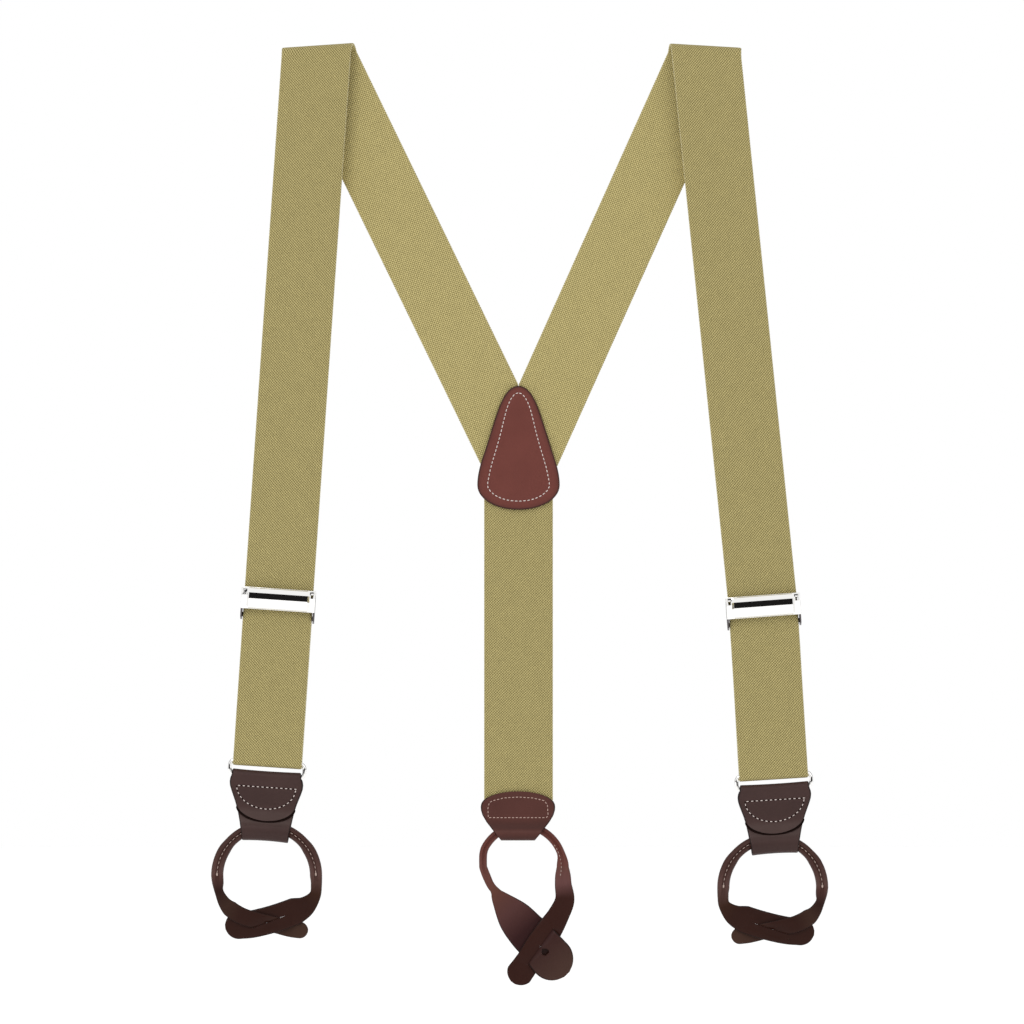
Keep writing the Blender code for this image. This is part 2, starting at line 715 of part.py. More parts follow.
def front_button_strap(name, side, parent):
    """The button strap under a front tab: the outer leg crosses in front of the inner one."""
    r = FRONT_ARCH_RADIUS
    outer = [(-r, 0, 0.0034), (-0.0269, -0.0039, 0.0032), (-0.0262, -0.0085, 0.0025)]
    outer += [(-0.0232, -0.0143, 0.0035), (-0.0192, -0.0182, 0.0048), (-0.0130, -0.0216, 0.0051)]
    outer += [(-0.0053, -0.0239, 0.0055), (0.0045, -0.0263, 0.0060), (0.0135, -0.0283, 0.0053)]
    outer += [(0.0228, -0.0295, 0.0043)]
    inner = [(r, 0, 0.0034), (0.0275, -0.0047, 0.0031), (0.0267, -0.0105, 0.0033)]
    inner += [(0.0219, -0.0160, 0.0056), (0.0154, -0.0188, 0.0084), (0.0040, -0.0233, 0.0107)]
    inner += [(-0.0075, -0.0264, 0.0098), (-0.0150, -0.0270, 0.0082), (-0.0229, -0.0273, 0.0076)]
    s, lift = side["sign"], side["leg_lift"]
    outer, inner = mirrored(outer, s, lift), mirrored(inner, s, lift)
    legs = (outer, inner) if s < 0 else (inner, outer)
    slits = [
        (-s * 0.0035, -0.0256 + 0.8 * lift, 0.0190, s * 12, True, 0),
        (-s * 0.0011, -0.0248 + 0.8 * lift, 0.0205, -s * 19, False, 0),
    ]
    button_strap(name, parent, r, FRONT_CORD_RADIUS, legs, s < 0, slits, DARK_LEATHER, front_swell)


def rear_button_strap(parent):
    """The button strap under the rear tab, its right leg in front."""
    r, c = REAR_ARCH_RADIUS, REAR_CORD_RADIUS
    left = [(-r, 0, c), (-0.0209, -0.0060, c), (-0.0149, -0.0132, 0.0025), (-0.0123, -0.0173, 0.0047)]
    left += [(-0.0049, -0.0265, 0.0094), (0.0023, -0.0350, 0.0110), (0.0095, -0.0425, 0.0115)]
    left += [(0.0165, -0.0505, 0.0120), (0.0250, -0.0592, 0.0120)]
    right = [(r, 0, c), (0.0228, -0.0044, 0.0040), (0.0230, -0.0099, 0.0047), (0.0238, -0.0182, 0.0054)]
    right += [(0.0205, -0.0262, 0.0060), (0.0150, -0.0352, 0.0072), (0.0089, -0.0442, 0.0075)]
    right += [(0.0034, -0.0525, 0.0071), (-0.0049, -0.0640, 0.0077)]
    slits = [
        (0.0130, -0.0460, 0.0190, -48, True, 1),
        (0.0098, -0.0425, 0.0220, 53, False, 0),
    ]
    button_strap("rear_button_strap", parent, r, c, (left, right), True, slits, RED_LEATHER, lambda a: 0.0)


# ---- adjusters -----------------------------------------------------------------------------------------


def adjuster_frame(name, parent):
    """Stamped frame: two side arms joined behind the web by an anvil bar and a hem bar."""
    arm = [(PIN_Y - ARM_END_RADIUS, PIN_Z)]
    arm += arc((PIN_Y, PIN_Z), ARM_END_RADIUS, 180, 90, 4)[1:]
    arm += [(-0.0100, 0.0040), (HEM_BAR_Y + 0.0012, -0.0010), (HEM_BAR_Y + 0.0012, -0.0100)]
    arm += arc((HEM_BAR_Y - 0.0010, -0.0100), 0.0022, 0, -90, 4)[1:]
    arm += [(-0.0125, -0.0108), (-0.0138, -0.0085), (PIN_Y - ARM_END_RADIUS, -0.0040)]
    frame = None
    for s in (-1, 1):
        plate = solid_from_curve(outline_curve(arm, ARM_THICKNESS / 2))
        stand = Matrix.Rotation(math.pi / 2, 4, "Z") @ Matrix.Rotation(math.pi / 2, 4, "X")
        plate.data.transform(Matrix.Translation((s * (ARM_INNER_X + ARM_THICKNESS / 2), 0, 0)) @ stand)
        if frame is None:
            frame = place(plate, name, NICKEL, parent)
        else:
            boolean(frame, cutter(plate, name + "_arm", parent, Matrix()), "UNION")
    span = 2 * ARM_INNER_X + ARM_THICKNESS
    hem_bar = box((span, HEM_BAR_DEPTH, HEM_BAR_HEIGHT))
    place_bar = Matrix.Translation((0, HEM_BAR_Y, HEM_BAR_Z))
    boolean(frame, cutter(hem_bar, name + "_hem_bar", parent, place_bar), "UNION")
    anvil = box((span, ANVIL_DEPTH, ANVIL_HEIGHT))
    place_bar = Matrix.Translation((0, ANVIL_Y, ANVIL_Z))
    boolean(frame, cutter(anvil, name + "_anvil", parent, place_bar), "UNION")
    bore = rod(PIN_RADIUS + GAP, BORE_LENGTH)
    place_bore = Matrix.Translation((0, PIN_Y, PIN_Z))
    boolean(frame, cutter(bore, name + "_pin_bore", parent, place_bore), "DIFFERENCE")


def adjuster_pin(name, parent):
    """The hinge pin through both arms."""
    length = 2 * (ARM_INNER_X + ARM_THICKNESS) + 0.0004
    place(rod(PIN_RADIUS, length), name, NICKEL, parent, Matrix.Translation((0, PIN_Y, PIN_Z)))


def pillow():
    """The cover's raised middle: a bar with a long face and bevelled ends."""
    obj = box((PILLOW_WIDTH, PILLOW_DEPTH + COVER_SHEET / 2, COVER_HEIGHT - 0.0006))
    bm = bmesh.new()
    bm.from_mesh(obj.data)
    front = [v for v in bm.verts if v.co.y < 0]
    for v in front:
        v.co.x -= math.copysign(0.0009, v.co.x)
        v.co.z -= 0.0026 if v.co.z > 0 else -0.0007
    bm.to_mesh(obj.data)
    bm.free()
    return obj


def adjuster_lever(name, parent):
    """The hinged cover: a sheet with a raised pillow, a knuckle round the pin and a toothed jaw."""
    at = Matrix.Translation((0, -PIN_Y, -PIN_Z))
    sheet_y = COVER_BACK_Y - COVER_SHEET / 2
    lever = box((ADJUSTER_WIDTH, COVER_SHEET, COVER_HEIGHT))
    lever.data.transform(at @ Matrix.Translation((0, sheet_y, 0)))
    place(lever, name, NICKEL, parent)
    raised = pillow()
    depth = COVER_BACK_Y - COVER_SHEET - PILLOW_DEPTH / 2 + COVER_SHEET / 4
    boolean(lever, cutter(raised, name + "_pillow", parent, at @ Matrix.Translation((0, depth, 0))), "UNION")
    knuckle_length = 2 * (ARM_INNER_X - GAP)
    knuckle = cutter(rod(KNUCKLE_RADIUS, knuckle_length), name + "_knuckle", parent, Matrix())
    boolean(lever, knuckle, "UNION")
    neck = box((knuckle_length, 0.0012, 0.0016))
    neck_at = Matrix.Translation((0, -0.0013, 0))
    boolean(lever, cutter(neck, name + "_neck", parent, neck_at), "UNION")
    jaw = jaw_bar()
    jaw_at = at @ Matrix.Translation((0, COVER_BACK_Y, -0.0042))
    boolean(lever, cutter(jaw, name + "_jaw", parent, jaw_at), "UNION")
    bore = cutter(rod(PIN_RADIUS + GAP, BORE_LENGTH), name + "_bore", parent, Matrix())
    boolean(lever, bore, "DIFFERENCE")


def jaw_bar():
    """The jaw behind the cover's lower edge: a ridge whose edge is cut into teeth, drawn in one outline."""
    half, root, tip = JAW_HALF_WIDTH, TOOTH_ROOT, TOOTH_TIP
    pitch = 2 * half / TEETH
    edge = []
    for i in range(TEETH):
        start = -half + i * pitch
        edge += [(start, root), (start + pitch / 2, tip)]
    points = [(-half, -0.0003), *edge, (half, root), (half, -0.0003)]
    return solid_from_curve(outline_curve(points, 0.0006))


def strap_hem(name, parent):
    """The web's end, looped over the frame's hem bar and sewn to itself."""
    half = WEB_THICKNESS / 2
    back = HEM_BAR_Y + HEM_BAR_DEPTH / 2 + GAP + half
    front = HEM_BAR_Y - HEM_BAR_DEPTH / 2 - GAP - half
    radius = (back - front) / 2
    middle = (back + front) / 2
    tail = back - WEB_THICKNESS - GAP
    over = arc((middle, HEM_BAR_Z + HEM_BAR_HEIGHT / 2), radius, 0, 180, 10)
    path = [(back, HEM_FOOT_Z), *over, (front, -0.0118), (tail, -0.0150), (tail, HEM_FOOT_Z)]
    place(band(straight_rows(path, WEB_WIDTH / 2), WEB_THICKNESS), name, WEBBING, parent)


# ---- assembly ------------------------------------------------------------------------------------------


def back_yoke():
    """Everything that the rear view's fixed middle holds."""
    crosspatch()
    centre_strap()
    rear_tab()
    arch = Matrix.Translation(REAR_ARCH_CENTRE)
    rear_button_strap(joint_empty("rear_button_strap_axis", arch))


def chain(word, side):
    """One shoulder's chain, from the rear strap to the button strap."""
    rear_strap(f"{word}_rear_strap", side)
    shoulder_turn(f"{word}_shoulder_turn", side)

    fold, _ = fold_line(side)
    shoulder_at = Matrix.Translation((fold.x, (REAR_WEB_Y + FRONT_WEB_Y) / 2, fold.y))
    shoulder = joint_empty(f"{word}_shoulder_axis", shoulder_at)
    front_strap(f"{word}_front_strap", side, shoulder, shoulder_at)

    bar_at = ring_world(side)
    slide = joint_empty(f"{word}_length_slide", bar_at, shoulder, shoulder_at)
    adjuster_at = adjuster_world(side)
    hem_foot = (adjuster_at @ Vector((0, 0, HEM_FOOT_Z)) - bar_at.translation).length
    rise = math.sqrt(hem_foot**2 - CHAIN_Y**2)
    return_strap(f"{word}_return_strap", slide, rise - GAP)

    adjuster = joint_empty(f"{word}_adjuster_slide", adjuster_at, slide, bar_at)
    adjuster_frame(f"{word}_adjuster_frame", adjuster)
    adjuster_pin(f"{word}_adjuster_pin", adjuster)
    strap_hem(f"{word}_strap_hem", adjuster)
    pin_at = adjuster_at @ Matrix.Translation((0, PIN_Y, PIN_Z))
    pin = joint_empty(f"{word}_lever_axis", pin_at, adjuster, adjuster_at)
    adjuster_lever(f"{word}_adjuster_lever", pin)

    upper_bar = joint_empty(f"{word}_ring_axis", bar_at, slide, bar_at)
    ring(f"{word}_ring", upper_bar)

    lower_at = bar_at @ Matrix.Translation((0, 0, -RING_HEIGHT))
    lower_bar = joint_empty(f"{word}_tab_axis", lower_at, upper_bar, bar_at)
    tab = front_tab(f"{word}_tab", side, lower_bar)

    arch_at = Matrix.Translation((side["sign"] * side["arch_out"], CHAIN_Y, side["arch_z"]))
    arch = joint_empty(f"{word}_button_strap_axis", arch_at, lower_bar, lower_at)
    front_button_strap(f"{word}_button_strap", side, arch)
    channel = cord_channel(FRONT_ARCH_RADIUS, FRONT_CORD_RADIUS)
    boolean(tab, cutter(channel, f"{word}_cord_channel", arch, Matrix()), "DIFFERENCE")


back_yoke()
for side_word, side_values in SIDES.items():
    chain(side_word, side_values)
bpy.context.view_layer.update()
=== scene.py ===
"""The looks of the suspenders: webbing, folded leather, thread and nickel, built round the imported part.

Lengths are in metres; outlines and seams listed as rows of numbers are in millimetres. Each side's pieces
are drawn in the frames of its adjuster, its ring's bars and its button strap, and then ride on those bodies.
"""

import math

import bmesh
import bpy
from mathutils import Matrix, Vector


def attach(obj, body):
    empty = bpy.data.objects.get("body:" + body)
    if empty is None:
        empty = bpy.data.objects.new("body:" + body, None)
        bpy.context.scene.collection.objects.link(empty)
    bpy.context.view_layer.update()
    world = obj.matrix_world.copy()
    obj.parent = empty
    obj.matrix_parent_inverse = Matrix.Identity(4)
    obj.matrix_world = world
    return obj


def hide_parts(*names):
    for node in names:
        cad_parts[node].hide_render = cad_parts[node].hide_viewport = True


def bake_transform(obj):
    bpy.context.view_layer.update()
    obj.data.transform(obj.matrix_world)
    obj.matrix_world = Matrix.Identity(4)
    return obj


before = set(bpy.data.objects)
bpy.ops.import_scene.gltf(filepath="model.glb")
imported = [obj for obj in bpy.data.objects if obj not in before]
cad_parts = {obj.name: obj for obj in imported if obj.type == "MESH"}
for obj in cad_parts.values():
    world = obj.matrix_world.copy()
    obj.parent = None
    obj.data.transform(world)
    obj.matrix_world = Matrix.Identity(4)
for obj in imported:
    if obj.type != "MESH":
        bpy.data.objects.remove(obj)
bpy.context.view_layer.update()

MM = 0.001

# ---- dimensions shared with the solids ----------------------------------------------------------------

WEB_HALF = 19.05 * MM
WEB_THICK = 1.3 * MM
LEATHER = 1.6 * MM
REAR_Y = -2.55 * MM
FRONT_Y = -10.55 * MM
SHOULDER_R = 4.0 * MM
FOLD_Y = (REAR_Y + FRONT_Y) / 2
MEETING_Z = 35.2 * MM
MITRE_Z = -11.5 * MM
TURN_R = 2.35 * MM
CHAIN_Y = FRONT_Y + TURN_R
RING_DROP = 8.0 * MM
FRONT_CORD_R = 2.95 * MM
FRONT_ARCH_R = 27.3 * MM
REAR_CORD_R = 2.2 * MM
REAR_ARCH_R = 23.0 * MM
REAR_ARCH = Vector((1.8 * MM, REAR_Y, -232.1 * MM))
PIN = Vector((0, -13.0 * MM, 4.3 * MM))
HEM_FOOT = -26.2 * MM

SIDES = {
    "left": {
        "sign": -1,
        "rear_angle": math.radians(25.9),
        "crest_out": 0.1117,
        "crest_z": 0.2225,
        "crest_tilt": math.radians(3.9),
        "lower_tilt": math.radians(3.88),
        "adjuster_tilt": math.radians(3.9),
        "ring_out": 0.1389,
        "ring_z": -0.1775,
        "adjuster_z": -0.0838,
        "tab_lean": 0.043,
        "arch_out": 0.1392,
        "arch_z": -0.2365,
        "leg_lift": -0.0010,
    },
    "right": {
        "sign": 1,
        "rear_angle": math.radians(24.2),
        "crest_out": 0.1037,
        "crest_z": 0.2224,
        "crest_tilt": math.radians(3.4),
        "lower_tilt": math.radians(3.58),
        "adjuster_tilt": math.radians(4.2),
        "ring_out": 0.1411,
        "ring_z": -0.1844,
        "adjuster_z": -0.0873,
        "tab_lean": 0.055,
        "arch_out": 0.1405,
        "arch_z": -0.2431,
        "leg_lift": 0.0025,
    },
}

# ---- materials ----------------------------------------------------------------------------------------


class Nodes:
    """A short way to write a node tree."""

    def __init__(self, tree):
        self.tree = tree

    def add(self, kind, values=(), **settings):
        """A node with its settings and its input values; an input may be another node's output."""
        node = self.tree.nodes.new(kind)
        for key, value in settings.items():
            setattr(node, key, value)
        for socket, value in values:
            if isinstance(value, bpy.types.NodeSocket):
                self.tree.links.new(value, node.inputs[socket])
            else:
                node.inputs[socket].default_value = value
        return node

    def math(self, operation, *values):
        return self.add("ShaderNodeMath", enumerate(values), operation=operation).outputs[0]

    def noise(self, vector, scale, detail=2.0):
        values = (("Vector", vector), ("Scale", scale), ("Detail", detail))
        return self.add("ShaderNodeTexNoise", values).outputs["Fac"]

    def mix(self, factor, first, second, blend_type="MIX"):
        """Two colours, each a node's output or red, green and blue, mixed by factor."""
        colours = [c if isinstance(c, bpy.types.NodeSocket) else (*c, 1.0) for c in (first, second)]
        values = ((0, factor), (6, colours[0]), (7, colours[1]))
        return self.add("ShaderNodeMix", values, data_type="RGBA", blend_type=blend_type).outputs[2]

    def ramp(self, value, low, high, at_low, at_high):
        """value taken smoothly from at_low, where it is low, to at_high."""
        names = ("Value", "From Min", "From Max", "To Min", "To Max")
        values = zip(names, (value, low, high, at_low, at_high))
        return self.add("ShaderNodeMapRange", values, interpolation_type="SMOOTHSTEP").outputs["Result"]


class Surface(Nodes):
    """A material with one Principled shader."""

    def __init__(self, name, colour, roughness, metallic=0.0):
        self.material = bpy.data.materials.new(name)
        self.material.use_nodes = True
        self.material.diffuse_color = (*colour, 1.0)
        super().__init__(self.material.node_tree)
        self.shader = self.tree.nodes["Principled BSDF"]
        self.set(("Base Color", (*colour, 1.0)), ("Roughness", roughness), ("Metallic", metallic))

    def set(self, *values):
        for socket, value in values:
            self.shader.inputs[socket].default_value = value

    def link(self, output, socket):
        self.tree.links.new(output, self.shader.inputs[socket])

    def bump(self, height, distance, strength=1.0):
        values = (("Height", height), ("Distance", distance), ("Strength", strength))
        self.link(self.add("ShaderNodeBump", values).outputs["Normal"], "Normal")


RIB_MM = 1.5
BEAD_MM = 1.35
SELVEDGE_MM = 18.72
GROOVE_COLOUR = (0.152, 0.116, 0.030)
RIB_COLOUR = (0.752, 0.640, 0.286)
SELVEDGE_COLOUR = (0.80, 0.74, 0.50)


def webbing(name, evenness, outer_tone):
    """Ribbed elastic webbing drawn in millimetres along the web: twill outside, a lighter basket inside.

    The vertex attribute "face" is 1 on the inner face. evenness is how equal the two sets of ribs are on the
    outer face, and outer_tone how light that face is beside the inner one.
    """
    n = Surface(name, (0.36, 0.30, 0.12), 0.85)
    uv = n.add("ShaderNodeUVMap", uv_map="web").outputs[0]
    inner = n.add("ShaderNodeAttribute", attribute_name="face").outputs["Fac"]
    x, y, _ = n.add("ShaderNodeSeparateXYZ", ((0, uv),)).outputs
    wobble = n.math("MULTIPLY", n.noise(uv, 0.35), 0.9)
    per_rib = 2 * math.pi / RIB_MM
    up = n.math("SINE", n.math("MULTIPLY", n.math("ADD", n.math("ADD", x, y), wobble), per_rib))
    down = n.math("SINE", n.math("MULTIPLY", n.math("SUBTRACT", x, y), per_rib))
    falling = n.math("MULTIPLY_ADD", n.math("MAXIMUM", inner, evenness), 0.20, 0.30)
    rising = n.math("SUBTRACT", 1.0, falling)
    ribs = n.math("ADD", n.math("MULTIPLY", up, rising), n.math("MULTIPLY", down, falling))
    height = n.math("MULTIPLY_ADD", ribs, 0.62, 0.5)
    fibre = n.noise(uv, 3.0, 3.0)
    slub = n.math("MULTIPLY_ADD", n.noise(uv, 0.12), 0.12, 0.94)
    tone = n.math("ADD", n.math("MULTIPLY", height, 0.78), n.math("MULTIPLY", fibre, 0.22))
    cloth = n.mix(tone, GROOVE_COLOUR, RIB_COLOUR)
    shade = n.math("MULTIPLY", slub, n.math("MULTIPLY_ADD", inner, 1.0 - outer_tone, outer_tone))
    grey = n.add("ShaderNodeCombineColor", ((0, shade), (1, shade), (2, shade))).outputs[0]
    beads = n.math("SINE", n.math("MULTIPLY", y, 2 * math.pi / BEAD_MM))
    edge = n.math("GREATER_THAN", n.math("ABSOLUTE", x), SELVEDGE_MM)
    bright = n.math("MULTIPLY", edge, n.math("MULTIPLY_ADD", beads, 0.35, 0.4))
    n.link(n.mix(bright, n.mix(1.0, cloth, grey, "MULTIPLY"), SELVEDGE_COLOUR), "Base Color")
    n.set(("Sheen Weight", 0.1), ("Specular IOR Level", 0.12))
    n.bump(n.math("ADD", height, n.math("MULTIPLY", fibre, 0.35)), 0.30 * MM)
    return n.material


def leather(name, colour, edge, roughness=0.42, gloss=0.12):
    """Smooth dressed leather with a fine grain.

    The vertex attribute "rim" is the share of the dark edge colour, which on the folded tabs is also painted
    shade, and "tint" is added to the dye: painted highlights on the tabs, dye with painted shade and
    highlights on the straps.
    """
    n = Surface(name, colour, roughness)
    where = n.add("ShaderNodeTexCoord").outputs["Object"]
    pores = n.add("ShaderNodeTexVoronoi", (("Vector", where), ("Scale", 1500.0)), feature="F1")
    mottle = n.noise(where, 70.0, 4.0)
    dye = n.mix(mottle, [c * 0.86 for c in colour], [c * 1.14 for c in colour])
    tint = n.add("ShaderNodeAttribute", attribute_name="tint").outputs["Color"]
    rim = n.add("ShaderNodeAttribute", attribute_name="rim").outputs["Fac"]
    n.link(n.mix(rim, n.mix(1.0, dye, tint, "ADD"), edge), "Base Color")
    grain = n.math("MULTIPLY_ADD", n.noise(where, 900.0, 3.0), 0.6, pores.outputs["Distance"])
    n.bump(grain, 0.06 * MM, 0.5)
    n.link(n.math("MULTIPLY_ADD", mottle, 0.16, roughness - 0.08), "Roughness")
    n.set(("Specular IOR Level", gloss))
    return n.material


def nickel(name, colour):
    """Bright plate with faint polishing marks."""
    n = Surface(name, colour, 0.06, 1.0)
    where = n.add("ShaderNodeTexCoord").outputs["Object"]
    stretched = n.add("ShaderNodeMapping", (("Vector", where), ("Scale", (60.0, 900.0, 900.0))))
    marks = n.noise(stretched.outputs[0], 1.0, 3.0)
    n.link(n.math("MULTIPLY_ADD", marks, 0.03, 0.02), "Roughness")
    return n.material


def thread(name, colour):
    """Twisted sewing thread."""
    n = Surface(name, colour, 0.6)
    where = n.add("ShaderNodeTexCoord").outputs["Object"]
    twist = n.add("ShaderNodeTexWave", (("Vector", where), ("Scale", 900.0)), bands_direction="DIAGONAL")
    n.link(n.mix(twist.outputs["Fac"], [c * 0.72 for c in colour], colour), "Base Color")
    n.bump(twist.outputs["Fac"], 0.05 * MM, 0.6)
    return n.material


WEB_FRONT = webbing("webbing_twill", 0.0, 0.86)
WEB_BACK = webbing("webbing_basket", 0.6, 0.86)
RED = leather("leather_red_brown", (0.146, 0.043, 0.034), (0.040, 0.016, 0.014))
RED_DARK = leather("leather_ox_brown", (0.086, 0.031, 0.025), (0.030, 0.012, 0.010))
DARK = leather("leather_dark_brown", (0.056, 0.031, 0.028), (0.016, 0.009, 0.008))
STRAP = leather("leather_strap_brown", (0.022, 0.006, 0.004), (0.010, 0.004, 0.003), 0.36)
# near-black leather for the needle holes and the flap's edge: painted shade in the holes, edge paint with
# painted shadow at the edge
SHADE_AND_EDGE_PAINT = leather("leather_shade_and_edge_paint", (0.012, 0.006, 0.005), (0.012, 0.006, 0.005), 0.8, 0.0)
PALE_THREAD = thread("thread_pale", (0.82, 0.72, 0.68))
ROSE_THREAD = thread("thread_rose", (0.62, 0.43, 0.37))
TAN_THREAD = thread("thread_tan", (0.50, 0.37, 0.32))
NICKEL = nickel("nickel", (0.90, 0.89, 0.87))
# near-black nickel for the adjuster frames: painted shade and dark reflections on plate as bright as the
# cover
SHADED_NICKEL = nickel("nickel_painted_shade", (0.09, 0.08, 0.08))

# ---- mesh helpers -------------------------------------------------------------------------------------


def put(name, data):
    """An object with this data, in the scene."""
    obj = bpy.data.objects.new(name, data)
    bpy.context.scene.collection.objects.link(obj)
    return obj


def stand_for(obj, body, *nodes):
    """obj rides on a body in place of CAD nodes."""
    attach(obj, body)
    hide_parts(*nodes)


def skin(bm, rings, closed=False):
    """Faces from each ring of vertices to the next; closed joins the last to the first instead of capping."""
    following = rings[1:] + rings[:1] if closed else rings[1:]
    for low, high in zip(rings, following):
        for i in range(len(low)):
            j = (i + 1) % len(low)
            bm.faces.new((low[i], low[j], high[j], high[i]))
    if not closed:
        bm.faces.new(reversed(rings[0]))
        bm.faces.new(rings[-1])


def tube_ring(bm, centre, first, second, around):
    """Vertices round centre; first and second are the two half axes of the ellipse."""
    turns = [2 * math.pi * k / around for k in range(around)]
    return [bm.verts.new(centre + first * math.cos(a) + second * math.sin(a)) for a in turns]


def finish_mesh(name, bm, material, smooth_angle=50):
    """A mesh object from bm, facing out and smooth where it is round."""
    bmesh.ops.recalc_face_normals(bm, faces=bm.faces)
    mesh = bpy.data.meshes.new(name)
    bm.to_mesh(mesh)
    bm.free()
    mesh.materials.append(material)
    mesh.shade_smooth()
    mesh.set_sharp_from_angle(angle=math.radians(smooth_angle))
    obj = put(name, mesh)
    return obj


def smoothstep(x):
    x = max(0.0, min(1.0, x))
    return x * x * (3 - 2 * x)


def spline(points, spacing):
    """Points along a Catmull-Rom spline through points, about spacing apart."""
    rows = [points[0], *points, points[-1]]
    out = []
    for a, b, c, d in zip(rows, rows[1:], rows[2:], rows[3:]):
        length = math.dist(b[:2], c[:2])
        count = max(1, round(length / spacing))
        for i in range(count):
            t = i / count
            weights = (
                -0.5 * t + t * t - 0.5 * t**3,
                1 - 2.5 * t * t + 1.5 * t**3,
                0.5 * t + 2 * t * t - 1.5 * t**3,
                -0.5 * t * t + 0.5 * t**3,
            )
            out.append(tuple(sum(w * q for w, q in zip(weights, p)) for p in zip(a, b, c, d)))
    out.append(tuple(points[-1]))
    return out


def arc_points(centre, radius, start, end, steps):
    turn = [math.radians(start + (end - start) * i / steps) for i in range(steps + 1)]
    return [(centre[0] + radius * math.cos(a), centre[1] + radius * math.sin(a)) for a in turn]


def interpolate(table, x):
    """A value from a table of (x, value) sorted by x."""
    if x <= table[0][0]:
        return table[0][1]
    for (a, p), (b, q) in zip(table, table[1:]):
        if x <= b:
            return p + (q - p) * (x - a) / (b - a)
    return table[-1][1]


# the section of a ribbon: share of the width, share of the half thickness
WEB_SECTION = [(0.0, 0.0), (0.004, 0.55), (0.016, 0.92), (0.05, 1.0), (0.3, 1.0), (0.5, 1.0)]
LEATHER_SECTION = [(0.0, 0.0), (0.003, 0.5), (0.011, 0.85), (0.024, 1.0), (0.06, 1.0), (0.12, 1.0)]
LEATHER_SECTION += [(0.2, 1.0), (0.3, 1.0), (0.4, 1.0), (0.5, 1.0)]


def ribbon(name, rows, material, section, shape=None):
    """A closed band. A row is (end A, end B, front normal, half thickness, uv at A, uv at B).

    shape moves a finished point: it gets the row's number, the share of the width, and the point.
    """
    half = section + [(1 - a, b) for a, b in reversed(section[:-1])]
    loop = half + [(a, -b) for a, b in reversed(half[1:-1])]
    bm = bmesh.new()
    uv_layer = bm.loops.layers.uv.new("web")
    rim_layer = bm.verts.layers.float.new("rim")
    face_layer = bm.verts.layers.float.new("face")
    grid, uvs = [], {}
    for number, (a, b, normal, thick, uv_a, uv_b) in enumerate(rows):
        line = []
        for share, level in loop:
            point = a.lerp(b, share) + normal * (thick * level)
            if shape:
                point = shape(number, share, point)
            vert = bm.verts.new(point)
            vert[rim_layer] = 1.0 if abs(level) < 0.9 else 0.0
            vert[face_layer] = 1.0 if level > 0 else 0.0
            uvs[vert] = (uv_a[0] + (uv_b[0] - uv_a[0]) * share, uv_a[1] + (uv_b[1] - uv_a[1]) * share)
            line.append(vert)
        grid.append(line)
    skin(bm, grid)
    for face in bm.faces:
        for corner in face.loops:
            corner[uv_layer].uv = uvs[corner.vert]
    return finish_mesh(name, bm, material)


FRONT_NORMAL = Vector((0, -1, 0))
SCALLOP = 0.10 * MM
ROW_STEP = 0.45 * MM


def web_row(a, b, normal, distance, skew=0.0):
    """A row of webbing with its woven edge; skew is how much further along, in mm, the row is at end B."""
    out = (b - a).normalized() * SCALLOP * math.sin(2 * math.pi * distance / (BEAD_MM * MM))
    half, along = WEB_HALF / MM, distance / MM
    return (a - out, b + out, normal, WEB_THICK / 2, (-half, along - skew / 2), (half, along + skew / 2))


def set_blend(obj):
    """obj's placement is baked into its mesh."""
    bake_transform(obj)


# pitch, length and width of each kind of stitch, in mm
PATCH_SEAM = (2.3, 1.5, 0.5)
TAB_SEAM = (2.6, 1.3, 0.46)
TAB_HOLES = (2.6, 0.9, 0.70)
REAR_TAB_SEAM = (2.1, 1.35, 0.42)
FRONT_CORD_SEAM = (2.6, 1.5, 0.4)
REAR_CORD_SEAM = (2.1, 1.2, 0.4)


def stitches(name, points, sizes, material, proud, out=FRONT_NORMAL, phase=0.5):
    """A seam of thread stitches along points, standing proud towards out, after phase of the first pitch."""
    bm = bmesh.new()
    pitch, length, width = (size * MM for size in sizes)
    run, target = 0.0, pitch * phase
    for a, b in zip(points, points[1:]):
        gap, along = (b - a).length, (b - a).normalized()
        side = along.cross(out).normalized()
        while target <= run + gap:
            middle = a.lerp(b, (target - run) / gap) + out * proud
            add_stitch(bm, middle, along * length / 2, side * width / 2, out * width * 0.45)
            target += pitch
        run += gap
    return finish_mesh(name, bm, material, 80)


# along the stitch, width and lift, as shares
STITCH_STATIONS = [(-1.0, 0.35, -0.8), (-0.8, 0.85, -0.2), (-0.35, 1.0, 0.1)]
STITCH_STATIONS += [(-t, scale, lift) for t, scale, lift in reversed(STITCH_STATIONS)]


def add_stitch(bm, centre, along, side, out):
    """One stitch: a bar with round ends that dives at both ends."""
    rings = []
    for t, scale, lift in STITCH_STATIONS:
        rings.append(tube_ring(bm, centre + along * t + out * lift, side * scale, out * scale, 8))
    skin(bm, rings)


def bead(name, points, radius, material):
    """A thin dark line of edge paint and painted shadow along an edge: a tube along points, drawn to a tip at
    both ends.
    """
    bm = bmesh.new()
    rings = []
    for i, point in enumerate(points):
        run = (points[min(i + 1, len(points) - 1)] - points[max(i - 1, 0)]).normalized()
        out = run.cross(Vector((0, 1, 0))).normalized()
        thick = radius * min(1.0, 0.3 + 0.35 * min(i, len(points) - 1 - i))
        rings.append(tube_ring(bm, point, out * thick, Vector((0, 1.6 * thick, 0)), 10))
    skin(bm, rings)
    return finish_mesh(name, bm, material, 80)


# ---- frames along each side ---------------------------------------------------------------------------


def tilted(side, point, tilt):
    return Matrix.Translation(point) @ Matrix.Rotation(-side["sign"] * tilt, 4, "Y")


def bar_frame(side):
    """The ring's upper bar."""
    centre = Vector((side["sign"] * side["ring_out"], CHAIN_Y, side["ring_z"]))
    return tilted(side, centre, side["lower_tilt"]) @ Matrix.Translation((0, 0, RING_DROP / 2))


